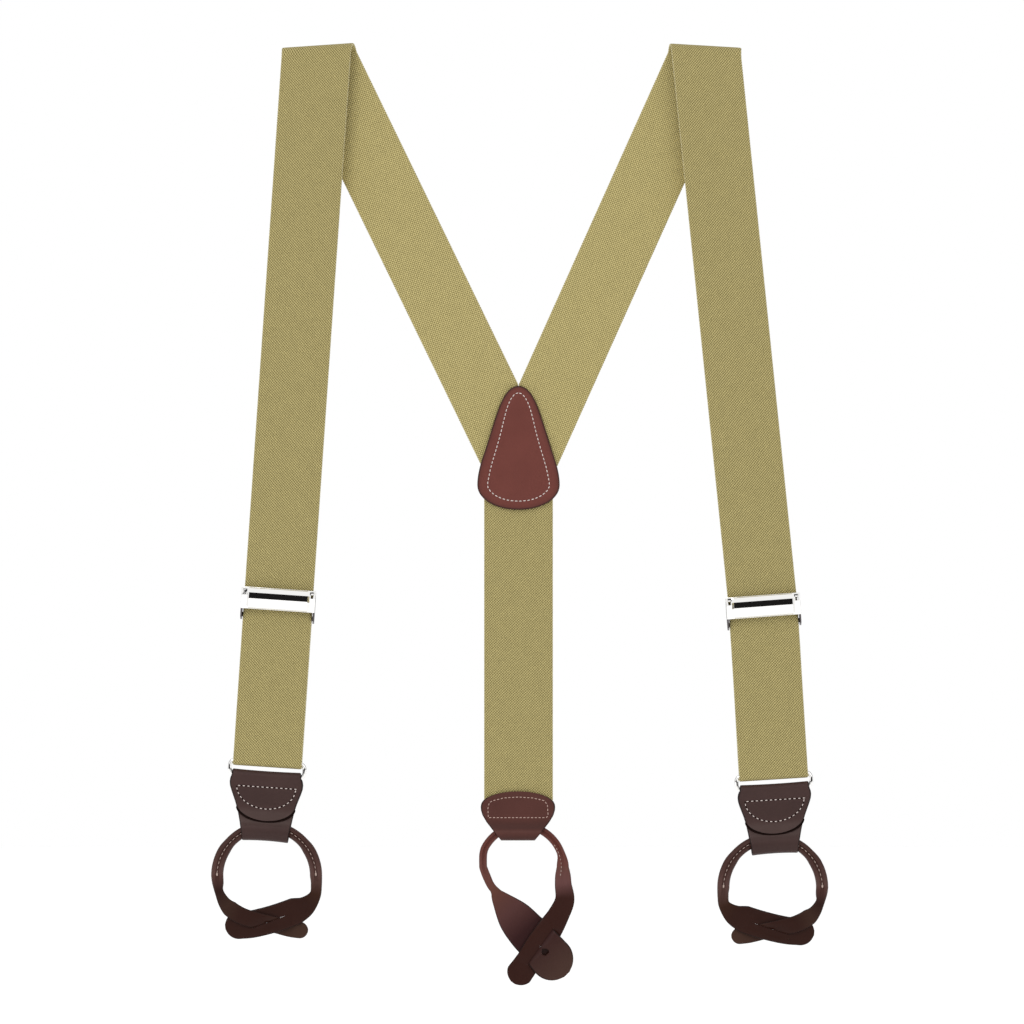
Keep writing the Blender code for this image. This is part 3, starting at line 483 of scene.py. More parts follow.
def adjuster_frame(side):
    """The middle of the adjuster's cover, at the crosspatch's depth."""
    bar = bar_frame(side)
    rise = (side["adjuster_z"] - bar.translation.z) / math.cos(side["lower_tilt"])
    centre = bar @ Vector((0, 0, rise))
    centre.y = 0
    return tilted(side, centre, side["adjuster_tilt"])


def flat(point, y):
    """A point of the XZ plane at depth y."""
    return Vector((point[0], y, point[1]))


def meet(p, d, q, e):
    """Where two lines in the XZ plane meet."""
    return p + d * ((q - p).cross(e) / d.cross(e))


def fold_line(side):
    s = side["sign"]
    point = Vector((s * side["crest_out"], side["crest_z"] - SHOULDER_R - WEB_THICK / 2))
    return point, Vector((s * math.cos(side["crest_tilt"]), -math.sin(side["crest_tilt"])))


def path_normals(path, place):
    """The outward normal at each point of a path of (y, z) drawn in place."""
    turned = place.to_3x3()
    ends = zip([path[0], *path[:-1]], [*path[1:], path[-1]])
    steps = (Vector((0, b[0] - a[0], b[1] - a[1])).normalized() for a, b in ends)
    return [turned @ Vector((0, -step.z, step.y)) for step in steps]


# ---- webbing ------------------------------------------------------------------------------------------

TOP_SEAM = 26.0 * MM
BACK_SEAM = 10.0 * MM
RING_REACH = 5.0 * MM
UNDER_PATCH = 47.0 * MM
CENTRE_GAP = 0.15 * MM
FOLD_STEPS = 40
BEND_HALF = 12.0 * MM
SKEW_FADE = 30.0 * MM


def rear_web_rows(side):
    """Rows from under the crosspatch up to the fold line, all parallel to the fold."""
    s, angle = side["sign"], side["rear_angle"]
    up = Vector((s * math.sin(angle), math.cos(angle)))
    across = Vector((s * math.cos(angle), -math.sin(angle)))
    inner = Vector((s * CENTRE_GAP, MEETING_Z))
    outer = inner + across * 2 * WEB_HALF
    fold, along = fold_line(side)
    start = meet(inner, up, fold, along)
    skew = (meet(outer, up, fold, along) - start).dot(up)
    length = (start - inner).length + UNDER_PATCH
    steps = int(length / ROW_STEP)
    rows = []
    for i in range(steps + 1):
        distance = -length * (1 - i / steps)
        base = start + up * distance
        a = meet(inner, up, base, along)
        b = meet(outer, up, base, along)
        whole = (b - a).length
        if s * a.x < CENTRE_GAP:
            a = meet(Vector((s * CENTRE_GAP, 0)), Vector((0, 1)), base, along)
        if min(a.y, b.y) < MITRE_Z:
            continue
        *row, uv_a, uv_b = web_row(flat(a, REAR_Y), flat(b, REAR_Y), FRONT_NORMAL, distance, skew / MM)
        share = (b - a).length / whole
        rows.append((*row, tuple(q + (p - q) * share for p, q in zip(uv_a, uv_b)), uv_b))
    return rows, start, meet(outer, up, fold, along), skew


def drawn(point):
    """A point's place in the picture's plane."""
    return Vector((point.x, point.z))


def front_line(side):
    """The middle of the shoulder fold, the way up to it from the adjuster, and the way along the fold."""
    fold, along = fold_line(side)
    return fold, (fold - drawn(adjuster_frame(side).translation)).normalized(), along


def shoulder_web(word, side):
    """Rear strap, the half turn over the shoulder and the top of the front strap, in one piece."""
    rows, rear_in, rear_out, rear_skew = rear_web_rows(side)
    weights = [0.0] * len(rows)
    fold, up_high, along = front_line(side)
    half = WEB_HALF / abs(up_high.cross(along))
    front_in, front_out = fold - along * half, fold + along * half
    front_skew = -(front_out - front_in).dot(up_high)
    turn_length = math.pi * SHOULDER_R
    for i in range(1, FOLD_STEPS + 1):
        share = i / FOLD_STEPS
        a = math.pi * share
        normal = Vector((0, math.cos(a), math.sin(a))) * -1
        rise = SHOULDER_R * math.sin(a)
        y = FOLD_Y + SHOULDER_R * math.cos(a)
        ends = [p.lerp(q, share) for p, q in ((rear_in, front_in), (rear_out, front_out))]
        ends = [Vector((p.x, y, p.y + rise)) for p in ends]
        skew = rear_skew + (front_skew - rear_skew) * share
        rows.append(web_row(ends[0], ends[1], normal, turn_length * share, skew / MM))
        weights.append(share)
    count = int(TOP_SEAM / ROW_STEP)
    for i in range(1, count + 1):
        down = TOP_SEAM * i / count
        shift = -up_high * down
        ends = [flat(front_in + shift, FRONT_Y), flat(front_out + shift, FRONT_Y)]
        rows.append(web_row(ends[0], ends[1], -FRONT_NORMAL, turn_length + down, front_skew / MM))
        weights.append(1.0)
    obj = ribbon(f"{word}_shoulder_web", rows, WEB_FRONT, WEB_SECTION)
    set_blend(obj)
    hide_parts(f"{word}_rear_strap", f"{word}_shoulder_turn")


def front_web(word, side):
    """The front strap down to the ring, round its upper bar and a little way up the back."""
    s = side["sign"]
    bar = bar_frame(side)
    fold, up_high, along = front_line(side)
    middle = drawn(adjuster_frame(side).translation)
    foot = drawn(bar @ Vector((0, 0, RING_REACH)))
    up_low = drawn(bar.to_3x3() @ Vector((0, 0, 1)))
    skew = -2 * WEB_HALF / abs(up_high.cross(along)) * along.dot(up_high)
    tan_top = skew / (2 * WEB_HALF)
    high_length = (fold - middle).length
    low_length = (middle - foot).length
    total = high_length + low_length
    count = int((total - TOP_SEAM) / ROW_STEP)
    rows, weights = [], []
    start = math.pi * SHOULDER_R
    for i in range(count + 1):
        d = TOP_SEAM + (total - TOP_SEAM) * i / count
        bend = smoothstep((d - high_length + BEND_HALF) / (2 * BEND_HALF))
        up = (up_high * (1 - bend) + up_low * bend).normalized()
        centre = fold - up_high * d if d < high_length else middle - up_low * (d - high_length)
        across = Vector((s * up.y, -s * up.x))
        slope = tan_top * (1 - smoothstep((d - TOP_SEAM) / SKEW_FADE))
        lean = (across - up * slope) * WEB_HALF
        ends = [flat(centre - lean, FRONT_Y), flat(centre + lean, FRONT_Y)]
        rows.append(web_row(ends[0], ends[1], -FRONT_NORMAL, start + d, slope * 2 * WEB_HALF / MM))
        weights.append(smoothstep((d - TOP_SEAM) / (total - TOP_SEAM)))
    across = Vector((s * WEB_HALF, 0, 0))
    path = [(-TURN_R, RING_REACH * (1 - i / 10)) for i in range(1, 10)]
    path += arc_points((0, 0), TURN_R, 180, 360, 18)
    path += [(TURN_R, BACK_SEAM * i / 20) for i in range(1, 21)]
    distance = start + total
    before = (-TURN_R, RING_REACH)
    turned = bar.to_3x3()
    for y, z in path:
        distance += math.dist(before, (y, z))
        step = Vector((0, y - before[0], z - before[1])).normalized()
        normal = turned @ Vector((0, step.z, -step.y))
        centre = Vector((0, y, z))
        rows.append(web_row(bar @ (centre - across), bar @ (centre + across), -normal, distance))
        weights.append(1.0)
        before = (y, z)
    obj = ribbon(f"{word}_front_web", rows, WEB_FRONT, WEB_SECTION)
    set_blend(obj)
    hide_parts(f"{word}_front_strap", f"{word}_return_strap")
    return distance


def return_web(word, side, distance):
    """The web behind the front strap, from above the ring up to the adjuster's hem."""
    bar = bar_frame(side)
    hanger = adjuster_frame(side)
    s = side["sign"]
    low = bar @ Vector((0, TURN_R, BACK_SEAM))
    high = hanger @ Vector((0, HEM_BACK, HEM_FOOT))
    across_low = bar.to_3x3() @ Vector((s * WEB_HALF, 0, 0))
    across_high = hanger.to_3x3() @ Vector((s * WEB_HALF, 0, 0))
    length = (high - low).length
    count = int(length / ROW_STEP)
    rows, weights = [], []
    for i in range(count + 1):
        share = i / count
        centre = low.lerp(high, share)
        centre.y = low.y + (high.y - low.y) * smoothstep(share)
        across = across_low.lerp(across_high, smoothstep(share))
        rows.append(web_row(centre - across, centre + across, FRONT_NORMAL * -1, distance + length * share))
        weights.append(share)
    obj = ribbon(f"{word}_return_web", rows, WEB_FRONT, WEB_SECTION)
    set_blend(obj)


HEM_BAR_Y = -7.5 * MM
HEM_BAR_Z = -9.4 * MM
HEM_BAR_R = 0.6 * MM
HEM_BAR_GAP = 0.3 * MM
HEM_BACK = HEM_BAR_Y + HEM_BAR_R + HEM_BAR_GAP + WEB_THICK / 2
HEM_FRONT = HEM_BAR_Y - HEM_BAR_R - HEM_BAR_GAP - WEB_THICK / 2
HEM_SEAMS = (-19.5 * MM, -23.5 * MM)
HEM_SEAM_HALF = 17.4 * MM
HEM_PITCH = 2.7 * MM
CENTRE_FOOT = -204.5 * MM


def hem_web(word, side):
    """The web's end looped over the hem bar and sewn down behind the front strap."""
    s = side["sign"]
    hanger = adjuster_frame(side)
    turned = hanger.to_3x3()
    middle = (HEM_BACK + HEM_FRONT) / 2
    radius = (HEM_BACK - HEM_FRONT) / 2
    tail = HEM_BACK - WEB_THICK - 0.1 * MM
    crown = HEM_BAR_Z + 1.2 * MM
    control = [(HEM_BACK, HEM_FOOT), (HEM_BACK, -20 * MM), (HEM_BACK, -14 * MM), (HEM_BACK, crown)]
    control += arc_points((middle, crown), radius, 0, 180, 8)[1:]
    control += [(HEM_FRONT, -11.8 * MM), (tail, -15.6 * MM), (tail, -20 * MM), (tail, HEM_FOOT + 0.8 * MM)]
    path = spline(control, 0.5 * MM)
    rows, distance, before = [], 0.0, path[0]
    across = Vector((s * WEB_HALF, 0, 0))
    for point, normal in zip(path, path_normals(path, hanger)):
        distance += math.dist(before, point)
        before = point
        centre = Vector((0, *point))
        rows.append(web_row(hanger @ (centre - across), hanger @ (centre + across), normal, distance))
    obj = ribbon(f"{word}_hem_web", rows, WEB_FRONT, WEB_SECTION)
    stand_for(obj, f"{word}_adjuster", f"{word}_strap_hem")
    seams = bmesh.new()
    along, rise = turned @ Vector((1.0 * MM, 0, 0)), turned @ Vector((0, 0, 0.25 * MM))
    for z in HEM_SEAMS:
        x = -HEM_SEAM_HALF
        while x < HEM_SEAM_HALF:
            centre = hanger @ Vector((x, HEM_BACK + WEB_THICK / 2 + 0.05 * MM, z))
            add_stitch(seams, centre, along, rise, Vector((0, 0.2 * MM, 0)))
            x += HEM_PITCH
    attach(finish_mesh(f"{word}_hem_stitches", seams, TAN_THREAD, 80), f"{word}_adjuster")


def centre_web():
    """The single strap down the back."""
    top = MITRE_Z - 0.3 * MM
    count = int((top - CENTRE_FOOT) / ROW_STEP)
    rows = []
    for i in range(count + 1):
        z = top + (CENTRE_FOOT - top) * i / count
        a, b = Vector((-WEB_HALF, REAR_Y, z)), Vector((WEB_HALF, REAR_Y, z))
        rows.append(web_row(a, b, -FRONT_NORMAL, top - z))
    obj = ribbon("centre_web", rows, WEB_BACK, WEB_SECTION)
    stand_for(obj, "back_yoke", "centre_strap")


# ---- crosspatch ---------------------------------------------------------------------------------------


def bezier_loop(knots, handles, steps):
    """Points of a closed Bezier loop with mirrored handles."""
    out = []
    for i, p in enumerate(knots):
        q = knots[(i + 1) % len(knots)]
        h, g = handles[i], handles[(i + 1) % len(knots)]
        a, b = (p[0] + h[0], p[1] + h[1]), (q[0] - g[0], q[1] - g[1])
        for k in range(steps):
            t = k / steps
            u = 1 - t
            w = (u**3, 3 * u * u * t, 3 * u * t * t, t**3)
            out.append(tuple(sum(c * v for c, v in zip(w, xs)) for xs in zip(p, a, b, q)))
    return out


CORE_TOP = 19.0 * MM
CORE_FOOT = -15.0 * MM


# how much further in than at the point the seam runs, by height
SEAM_SPREAD = [(-34.3, 1.27), (-28.0, 1.45), (-15.0, 1.6), (8.0, 1.45), (22.0, 1.15), (34.3, 1.05)]


def inset_loop(points, inset):
    """The crosspatch's outline moved inwards by inset, each point towards a core line down the middle."""
    out = []
    count = len(points)
    for i, p in enumerate(points):
        a, b = points[i - 1], points[(i + 1) % count]
        dx, dz = b[0] - a[0], b[1] - a[1]
        length = math.hypot(dx, dz)
        inward = (dz / length, -dx / length)
        core = (0.0, max(CORE_FOOT, min(CORE_TOP, p[1])))
        pull = (core[0] - p[0], core[1] - p[1])
        reach = math.hypot(*pull)
        facing = max(0.5, (pull[0] * inward[0] + pull[1] * inward[1]) / reach)
        spread = 1 + (interpolate(SEAM_SPREAD, p[1] / MM) - 1) * smoothstep((inset / MM - 0.8) / 2)
        share = min(inset * spread / facing / reach, 0.9)
        out.append((p[0] + pull[0] * share, p[1] + pull[1] * share))
    return out


def crosspatch_outline():
    """A guitar pick with its rounded point up."""
    w, h = 22.8 * MM, 34.3 * MM
    knots = [(0, h), (0.42 * w, 0.74 * h), (0.78 * w, 0.03 * h), (w, -0.60 * h), (0, -h)]
    knots += [(-x, z) for x, z in reversed(knots[1:-1])]
    handles = [(0.17 * w, 0), (0.11 * w, -0.16 * h), (0.10 * w, -0.21 * h), (0, -0.22 * h), (-0.58 * w, 0)]
    handles += [(dx, -dz) for dx, dz in reversed(handles[1:-1])]
    return bezier_loop(knots, handles, 14)


# inset from the edge and height above the leather's middle, in mm, over the rounded rim and the seam
PATCH_PROFILE = [(0.0, 0.0), (0.05, 0.35), (0.25, 0.62), (0.6, 0.76), (1.1, 0.80), (2.2, 0.78)]
PATCH_PROFILE += [(3.2, 0.68), (3.8, 0.60), (4.4, 0.68), (5.4, 0.80), (7.5, 0.84), (10.5, 0.85)]
SEAM_INSET = 3.8 * MM
SEAM_LEVEL = 0.60 * MM
BACK_FULLNESS = 1.2
PATCH_FACES = (("crosspatch_front", -4.5 * MM, -1), ("crosspatch_back", -0.8 * MM, 1))


def crosspatch():
    """The two leather faces, their seam sunk a little, and the dashed seam on each."""
    outline = crosspatch_outline()
    for name, y, s in PATCH_FACES:
        bm = bmesh.new()
        rim_layer = bm.verts.layers.float.new("rim")
        levels = [(inset, min(level * BACK_FULLNESS, 0.8), -s) for inset, level in reversed(PATCH_PROFILE)]
        levels += [(inset, level, s) for inset, level in PATCH_PROFILE[1:]]
        rings = []
        for inset, level, face in levels:
            loop = inset_loop(outline, inset * MM)
            rings.append([bm.verts.new((x, y + face * level * MM, z)) for x, z in loop])
            for vert in rings[-1]:
                vert[rim_layer] = 1.0 - smoothstep((inset - 0.15) / 1.4)
        skin(bm, rings)
        obj = finish_mesh(name + "_leather", bm, RED)
        stand_for(obj, "back_yoke", name)
        loop = inset_loop(outline, SEAM_INSET)
        path = [Vector((x, y + s * SEAM_LEVEL, z)) for x, z in loop + loop[:1]]
        seam = stitches(name + "_stitches", path, PATCH_SEAM, PALE_THREAD, 0.12 * MM, Vector((0, s, 0)))
        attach(seam, "back_yoke")


# ---- folded leather tabs ------------------------------------------------------------------------------


def tone_at(table, where):
    """The colour added at a place, from rows of (mm, red, green, blue)."""
    return tuple(interpolate([(row[0], row[k]) for row in table], where) for k in (1, 2, 3))


def folded_strip(name, path, half_width, lean, place, material, tones, shape=None):
    """Leather folded along path, a list of (y, z), that leans sideways; half_width gives its outline.

    tones lists (height, tone): a positive tone is a painted highlight, a negative one painted shade, as a
    share of the edge colour.
    """
    rows = []
    for i, ((y, z), normal) in enumerate(zip(path, path_normals(path, place))):
        half = half_width(i, z)
        a, b = (place @ Vector((x - lean * z, y, z)) for x in (-half, half))
        rows.append((a, b, normal, LEATHER / 2, (-half / MM, z / MM), (half / MM, z / MM)))
    obj = ribbon(name, rows, material, LEATHER_SECTION, shape)
    layer = obj.data.attributes.new("tint", "FLOAT_COLOR", "POINT")
    rim, back = obj.data.attributes["rim"], place.inverted()
    for i, vert in enumerate(obj.data.vertices):
        tone = interpolate(tones, (back @ vert.co).z / MM)
        # a positive tone is tinted in as a painted highlight, a negative one raises the edge colour's share
        # as painted shade
        light = max(tone, 0.0)
        layer.data[i].color = (light, 0.9 * light, 0.8 * light, 1.0)
        rim.data[i].value = max(rim.data[i].value, -tone)
    return obj


# painted highlight and shade down the front tab, by height in mm: shade low on the tab and over the flap's
# stitched middle, a highlight band along the flap's lower rim
TAB_PAINTED_LIGHT = [(-30.4, -0.15), (-28.2, 0.0), (-25.5, 0.015), (-20.0, 0.015), (-17.5, 0.0)]
TAB_PAINTED_LIGHT += [(-15.0, -0.12), (-8.0, -0.12), (-5.0, 0.0)]
TAB_HALF = [(-36.0, 12.7), (-31.0, 13.2), (-27.9, 13.9), (-23.5, 14.8), (-18.5, 15.9), (-14.6, 17.1)]
TAB_HALF += [(-9.0, 19.2), (-6.2, 20.1), (-3.9, 20.3), (-2.0, 20.0), (-0.5, 19.4), (1.0, 19.1), (4.0, 19.0)]
FLAP_Y = -2.05 * MM
FLAP_TOP = -4.0 * MM
FLAP_TURN = -17.0 * MM
FLAP_DEEP = 7.6 * MM
FLAP_BOW = 15.9 * MM
BOW_STEPS = 24
FLAP_STEPS = 15
STRIP_STEP = 0.7 * MM
FLAP_TIP = 0.25 * MM
EDGE_R, EDGE_BACK, EDGE_DROP = 0.5 * MM, 0.9 * MM, 0.15 * MM
CORD_CROWN, RING_SAG = 0.5 * MM, 0.35 * MM
THREAD_PROUD, HOLE_PROUD = 0.02 * MM, -0.06 * MM
BAR_WRAP = 2.3 * MM
CORD_Z = -31.4 * MM
CORD_WRAP = 4.0 * MM
# behind the cord and in front of it, (y, z) in mm
TAB_BACK = [(2.0, -3.0), (1.6, -7.0), (1.6, -20.0), (2.6, -25.0), (3.75, -29.0)]
TAB_FRONT = [(-3.6, -28.6), (-1.7, -26.0), (-0.8, -22.5), (-0.3, -17.0), (-0.2, -4.0)]
SEAM_HALF, SEAM_TOP, SEAM_DEEP = 16.3, -6.0, 12.0


def front_tab(word, side):
    """The tab: a D-shaped flap in front, over the ring's lower bar, down the back, round the cord, and up."""
    lower = bar_frame(side) @ Matrix.Translation((0, 0, -RING_DROP))
    upright = lower.inverted()
    lean = -side["sign"] * side["tab_lean"]
    turns = [math.pi / 2 * i / BOW_STEPS for i in range(BOW_STEPS + 1)]
    path = [(FLAP_Y, FLAP_TURN - FLAP_DEEP * math.cos(a)) for a in turns]
    path += [(FLAP_Y, FLAP_TURN + (FLAP_TOP - FLAP_TURN) * i / FLAP_STEPS) for i in range(1, FLAP_STEPS + 1)]
    flap_rows = len(path)
    control = [path[-1], (-2.2 * MM, -2.0 * MM), *arc_points((0, 0), BAR_WRAP, 180, 0, 10)]
    control += [(y * MM, z * MM) for y, z in TAB_BACK]
    control += arc_points((0, CORD_Z), CORD_WRAP, 0, -180, 12)
    control += [(y * MM, z * MM) for y, z in TAB_FRONT]
    path += spline(control, STRIP_STEP)[1:]

    def half_width(i, z):
        whole = interpolate(TAB_HALF, z / MM) * MM
        if i >= flap_rows or z >= FLAP_TURN:
            return whole
        drop = (FLAP_TURN - z) / FLAP_DEEP
        return max(min(whole, FLAP_BOW * 1.02) * math.sqrt(max(1 - drop * drop, 0)), FLAP_TIP)

    def sag(number, share, point):
        """The strip's middle lies a little higher over the arched cord and lower at the ring."""
        if number < flap_rows:
            return point
        z = (upright @ point).z / MM
        near, high = smoothstep((-22 - z) / 10), smoothstep((z + 4) / 4)
        crown = 1 - (2 * share - 1) ** 2
        return point + Vector((0, 0, (near * CORD_CROWN - high * RING_SAG) * crown))

    body, stem = f"{word}_leather_tab", f"{word}_tab"
    obj = folded_strip(f"{stem}_leather", path, half_width, lean, lower, DARK, TAB_PAINTED_LIGHT, sag)
    stand_for(obj, body, stem)
    front = FLAP_Y - LEATHER / 2
    # a dark bead along the flap's lower edge: edge paint, with painted shadow under the flap
    rim = []
    for degrees in range(-90, 91, 3):
        a = math.radians(degrees)
        x, z = FLAP_BOW * 1.01 * math.sin(a), FLAP_TURN - FLAP_DEEP * 1.05 * math.cos(a)
        rim.append(lower @ Vector((x - lean * z, front + EDGE_BACK, z - EDGE_DROP)))
    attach(bead(f"{word}_flap_edge", rim, EDGE_R, SHADE_AND_EDGE_PAINT), body)
    top = [(-SEAM_HALF + SEAM_HALF * i / 20, SEAM_TOP) for i in range(41)]
    turns = [math.radians(a) for a in range(0, -181, -5)]
    bow = [(SEAM_HALF * math.cos(a), SEAM_TOP + SEAM_DEEP * math.sin(a)) for a in turns]
    for tag, line in (("top", top), ("bow", bow)):
        points = [lower @ Vector(((x - lean * z) * MM, front, z * MM)) for x, z in line]
        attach(stitches(f"{stem}_{tag}_stitches", points, TAB_SEAM, PALE_THREAD, THREAD_PROUD), body)
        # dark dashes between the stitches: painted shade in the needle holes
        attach(stitches(f"{stem}_{tag}_holes", points, TAB_HOLES, SHADE_AND_EDGE_PAINT, HOLE_PROUD, phase=1.0), body)


REAR_HALF = [(-217.5, 9.2), (-216.3, 9.8), (-214.4, 11.6), (-211.2, 14.2), (-207.0, 17.5), (-203.2, 19.7)]
REAR_HALF += [(-200.5, 20.5), (-198.6, 20.6)]
# painted shade and highlight across the rear tab's foot, by height in mm: shade round the bottom fold and in
# a crease above it, a thin highlight between
REAR_TAB_PAINTED_LIGHT = [(-216.5, -0.5), (-214.6, -0.25), (-213.2, 0.0), (-211.8, 0.012), (-210.6, -0.42)]
REAR_TAB_PAINTED_LIGHT += [(-208.3, -0.40), (-206.6, -0.2), (-204.8, 0.0)]
REAR_TAB_X = -0.3 * MM
REAR_TOP, REAR_SHOULDER, REAR_FOOT = -190.1 * MM, -199.0 * MM, -217.4 * MM
REAR_ARCH_HALF = 20.6 * MM
REAR_TOP_ROWS = 19
REAR_SEAM = [(-16.7, -204.6), (-16.9, -199.5), (-16.2, -196.4), (-14.3, -195.2), (-8.0, -193.7), (0, -193.2)]
REAR_SEAM += [(8.0, -193.7), (14.3, -195.2), (16.0, -197.6), (16.4, -203.4), (15.4, -204.6), (-16.7, -204.6)]


def rear_tab():
    """The folded tab on the foot of the centre strap."""
    y_face = WEB_THICK / 2 + 0.15 * MM + LEATHER / 2
    foot_r = REAR_CORD_R + 0.3 * MM + LEATHER / 2
    turns = [math.pi / 2 * (1 - i / (REAR_TOP_ROWS - 1)) for i in range(REAR_TOP_ROWS)]
    heights = [REAR_SHOULDER + (REAR_TOP - REAR_SHOULDER) * math.sin(a) for a in turns]
    side = [(y_face, REAR_SHOULDER), (y_face, -204.5 * MM), (y_face + 0.5 * MM, -208.5 * MM)]
    side += [(foot_r, -211.5 * MM)]
    control = [(-y, z) for y, z in side]
    control += arc_points((0, REAR_FOOT + foot_r + LEATHER / 2), foot_r, 180, 360, 10) + side[::-1]
    path = [(-y_face, z) for z in heights] + spline(control, STRIP_STEP)[1:]
    path += [(y_face, z) for z in reversed(heights[:-1])]
    last = len(path) - REAR_TOP_ROWS

    def half_width(i, z):
        if REAR_TOP_ROWS <= i <= last:
            return interpolate(REAR_HALF, z / MM) * MM
        rise = min((z - REAR_SHOULDER) / (REAR_TOP - REAR_SHOULDER), 1.0)
        return max(REAR_ARCH_HALF * math.sqrt(1 - rise**2.3), 0.4 * MM)

    place = Matrix.Translation((REAR_TAB_X, REAR_Y, 0))
    obj = folded_strip("rear_tab_leather", path, half_width, 0.0, place, RED_DARK, REAR_TAB_PAINTED_LIGHT)
    stand_for(obj, "back_yoke", "rear_tab")
    for tag, s in (("front", -1), ("back", 1)):
        line = [Vector((x * MM, REAR_Y + s * (y_face + LEATHER / 2), z * MM)) for x, z in REAR_SEAM]
        out = Vector((0, s, 0))
        seam = stitches(f"rear_tab_{tag}_stitches", line, REAR_TAB_SEAM, ROSE_THREAD, THREAD_PROUD, out)
        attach(seam, "back_yoke")


# ---- button straps ------------------------------------------------------------------------------------

SECTION_ANGLES = [0, 16, 32, 47, 60, 72, 83, 97, 108, 120, 133, 148, 164]
SECTION_ANGLES += [180 + a for a in SECTION_ANGLES]
RIDGES = (5, 8)
MIDDLE = (6, 7)
MIDDLE_BACK = (20, 19)
RIM = (0, 1, 12, 13, 14, 25)
LEG_HALF_THICK = 0.8 * MM
FLATTENING = 17.0 * MM
STRAP_STEP = 0.8 * MM
ARCH_STEPS = 60
# shares of the cord's half thickness, and how square a flat leg's section is
GROOVE_DEPTH = 0.32
RIDGE_RISE = 0.05
SQUARENESS = 0.55


def round_tip(rows, radius):
    """Narrow the last rows to a round end."""
    tip = rows[-1]
    out = []
    for x, z, w in rows:
        gone = radius - min(math.dist((x, z), tip[:2]), radius)
        out.append((x, z, min(w, math.sqrt(max(radius**2 - gone**2, (0.18 * radius) ** 2)))))
    return out


def button_strap(stem, place, arch_r, cord_r, legs, slits, depth, tint, swell):
    """Cord and two flat legs as one skin; legs holds the left and the right one.

    slits maps a leg to (first point, last point, eye radius). depth moves a leg's point through its
    thickness. tint is the colour added to the darkest brown, dye and, on most legs, painted shade and
    highlights, for a leg, a distance along it and a height. swell gives the cord's extra half width and
    sideways shift, in mm, at an angle round the arch in degrees.
    """
    runs = {}
    for key, leg in legs.items():
        rows = spline([tuple(v * MM for v in row) for row in leg], STRAP_STEP)
        runs[key] = round_tip(rows, rows[-1][2])
    arch = []
    for i in range(1, ARCH_STEPS):
        a = math.pi * i / ARCH_STEPS
        broad, shift = swell(math.degrees(a))
        arch.append((arch_r * math.cos(a) + shift * MM, arch_r * math.sin(a), cord_r + broad * MM))
    line = [(*row, "right", len(runs["right"]) - i) for i, row in enumerate(reversed(runs["right"]))]
    line += [(*row, "arch", 0) for row in arch]
    line += [(*row, "left", i + 1) for i, row in enumerate(runs["left"])]
    bm = bmesh.new()
    rim_layer = bm.verts.layers.float.new("rim")
    tint_layer = bm.verts.layers.float_color.new("tint")
    grid, gaps = [], []
    for i, (x, z, w, key, away) in enumerate(line):
        before, after = line[max(i - 1, 0)], line[min(i + 1, len(line) - 1)]
        run = Vector((after[0] - before[0], 0, after[1] - before[1])).normalized()
        across = Vector((-run.z, 0, run.x))
        flatness = smoothstep(away * STRAP_STEP / FLATTENING)
        thick = cord_r + (LEG_HALF_THICK - cord_r) * flatness
        power = 1.0 - SQUARENESS * flatness
        centre = Vector((x, 0, z))
        gap, shift = slit_gap(slits.get(key), centre, run, across)
        ring = []
        for k, degrees in enumerate(SECTION_ANGLES):
            a = math.radians(degrees)
            c, d = math.cos(a), math.sin(a)
            u = w * math.copysign(abs(c) ** power, c)
            v = -thick * math.copysign(abs(d) ** power, d)
            if k in MIDDLE or k in MIDDLE_BACK:
                u = shift + math.copysign(gap if gap else max(abs(u), 0.3 * MM), c)
                v = -thick * math.copysign(1, d)
            if k in MIDDLE:
                v *= 1 - GROOVE_DEPTH * (1 - flatness)
            if k in RIDGES:
                v *= 1 + RIDGE_RISE * (1 - flatness)
            point = centre + across * u + Vector((0, v, 0))
            if key != "arch":
                point.y += depth(key, point.x / MM, point.z / MM) * flatness * MM
            vert = bm.verts.new(point)
            vert[rim_layer] = flatness * (k in RIM)
            vert[tint_layer] = (*tint(key, away * STRAP_STEP / MM, z / MM), 1.0)
            ring.append(vert)
        grid.append(ring)
        gaps.append(gap is not None)
    count = len(SECTION_ANGLES)
    for r, (low, high) in enumerate(zip(grid, grid[1:])):
        open_here = gaps[r] and gaps[r + 1]
        for i in range(count):
            j = (i + 1) % count
            if open_here and i in (MIDDLE[0], MIDDLE_BACK[1]):
                continue
            bm.faces.new((low[i], low[j], high[j], high[i]))
        if open_here:
            for f, b in zip(MIDDLE, MIDDLE_BACK):
                bm.faces.new((low[f], high[f], high[b], low[b]))
    for r, here in enumerate(gaps):
        starts = here and not gaps[r - 1]
        ends = here and not gaps[r + 1]
        if starts or ends:
            ring = grid[r]
            bm.faces.new((ring[MIDDLE[0]], ring[MIDDLE[1]], ring[MIDDLE_BACK[1]], ring[MIDDLE_BACK[0]]))
    bm.faces.new(reversed(grid[0]))
    bm.faces.new(grid[-1])
    obj = finish_mesh(f"{stem}_button_leather", bm, STRAP, 70)
    obj.data.transform(place)
    stand_for(obj, f"{stem}_button_end", f"{stem}_button_strap")


def tone_mix(first, second, share):
    share = smoothstep(share)
    return tuple(a + (b - a) * share for a, b in zip(first, second))


SLIT_HALF, SLIT_BOW, SLIT_EASE = 0.03 * MM, 0.10 * MM, 5.0 * MM


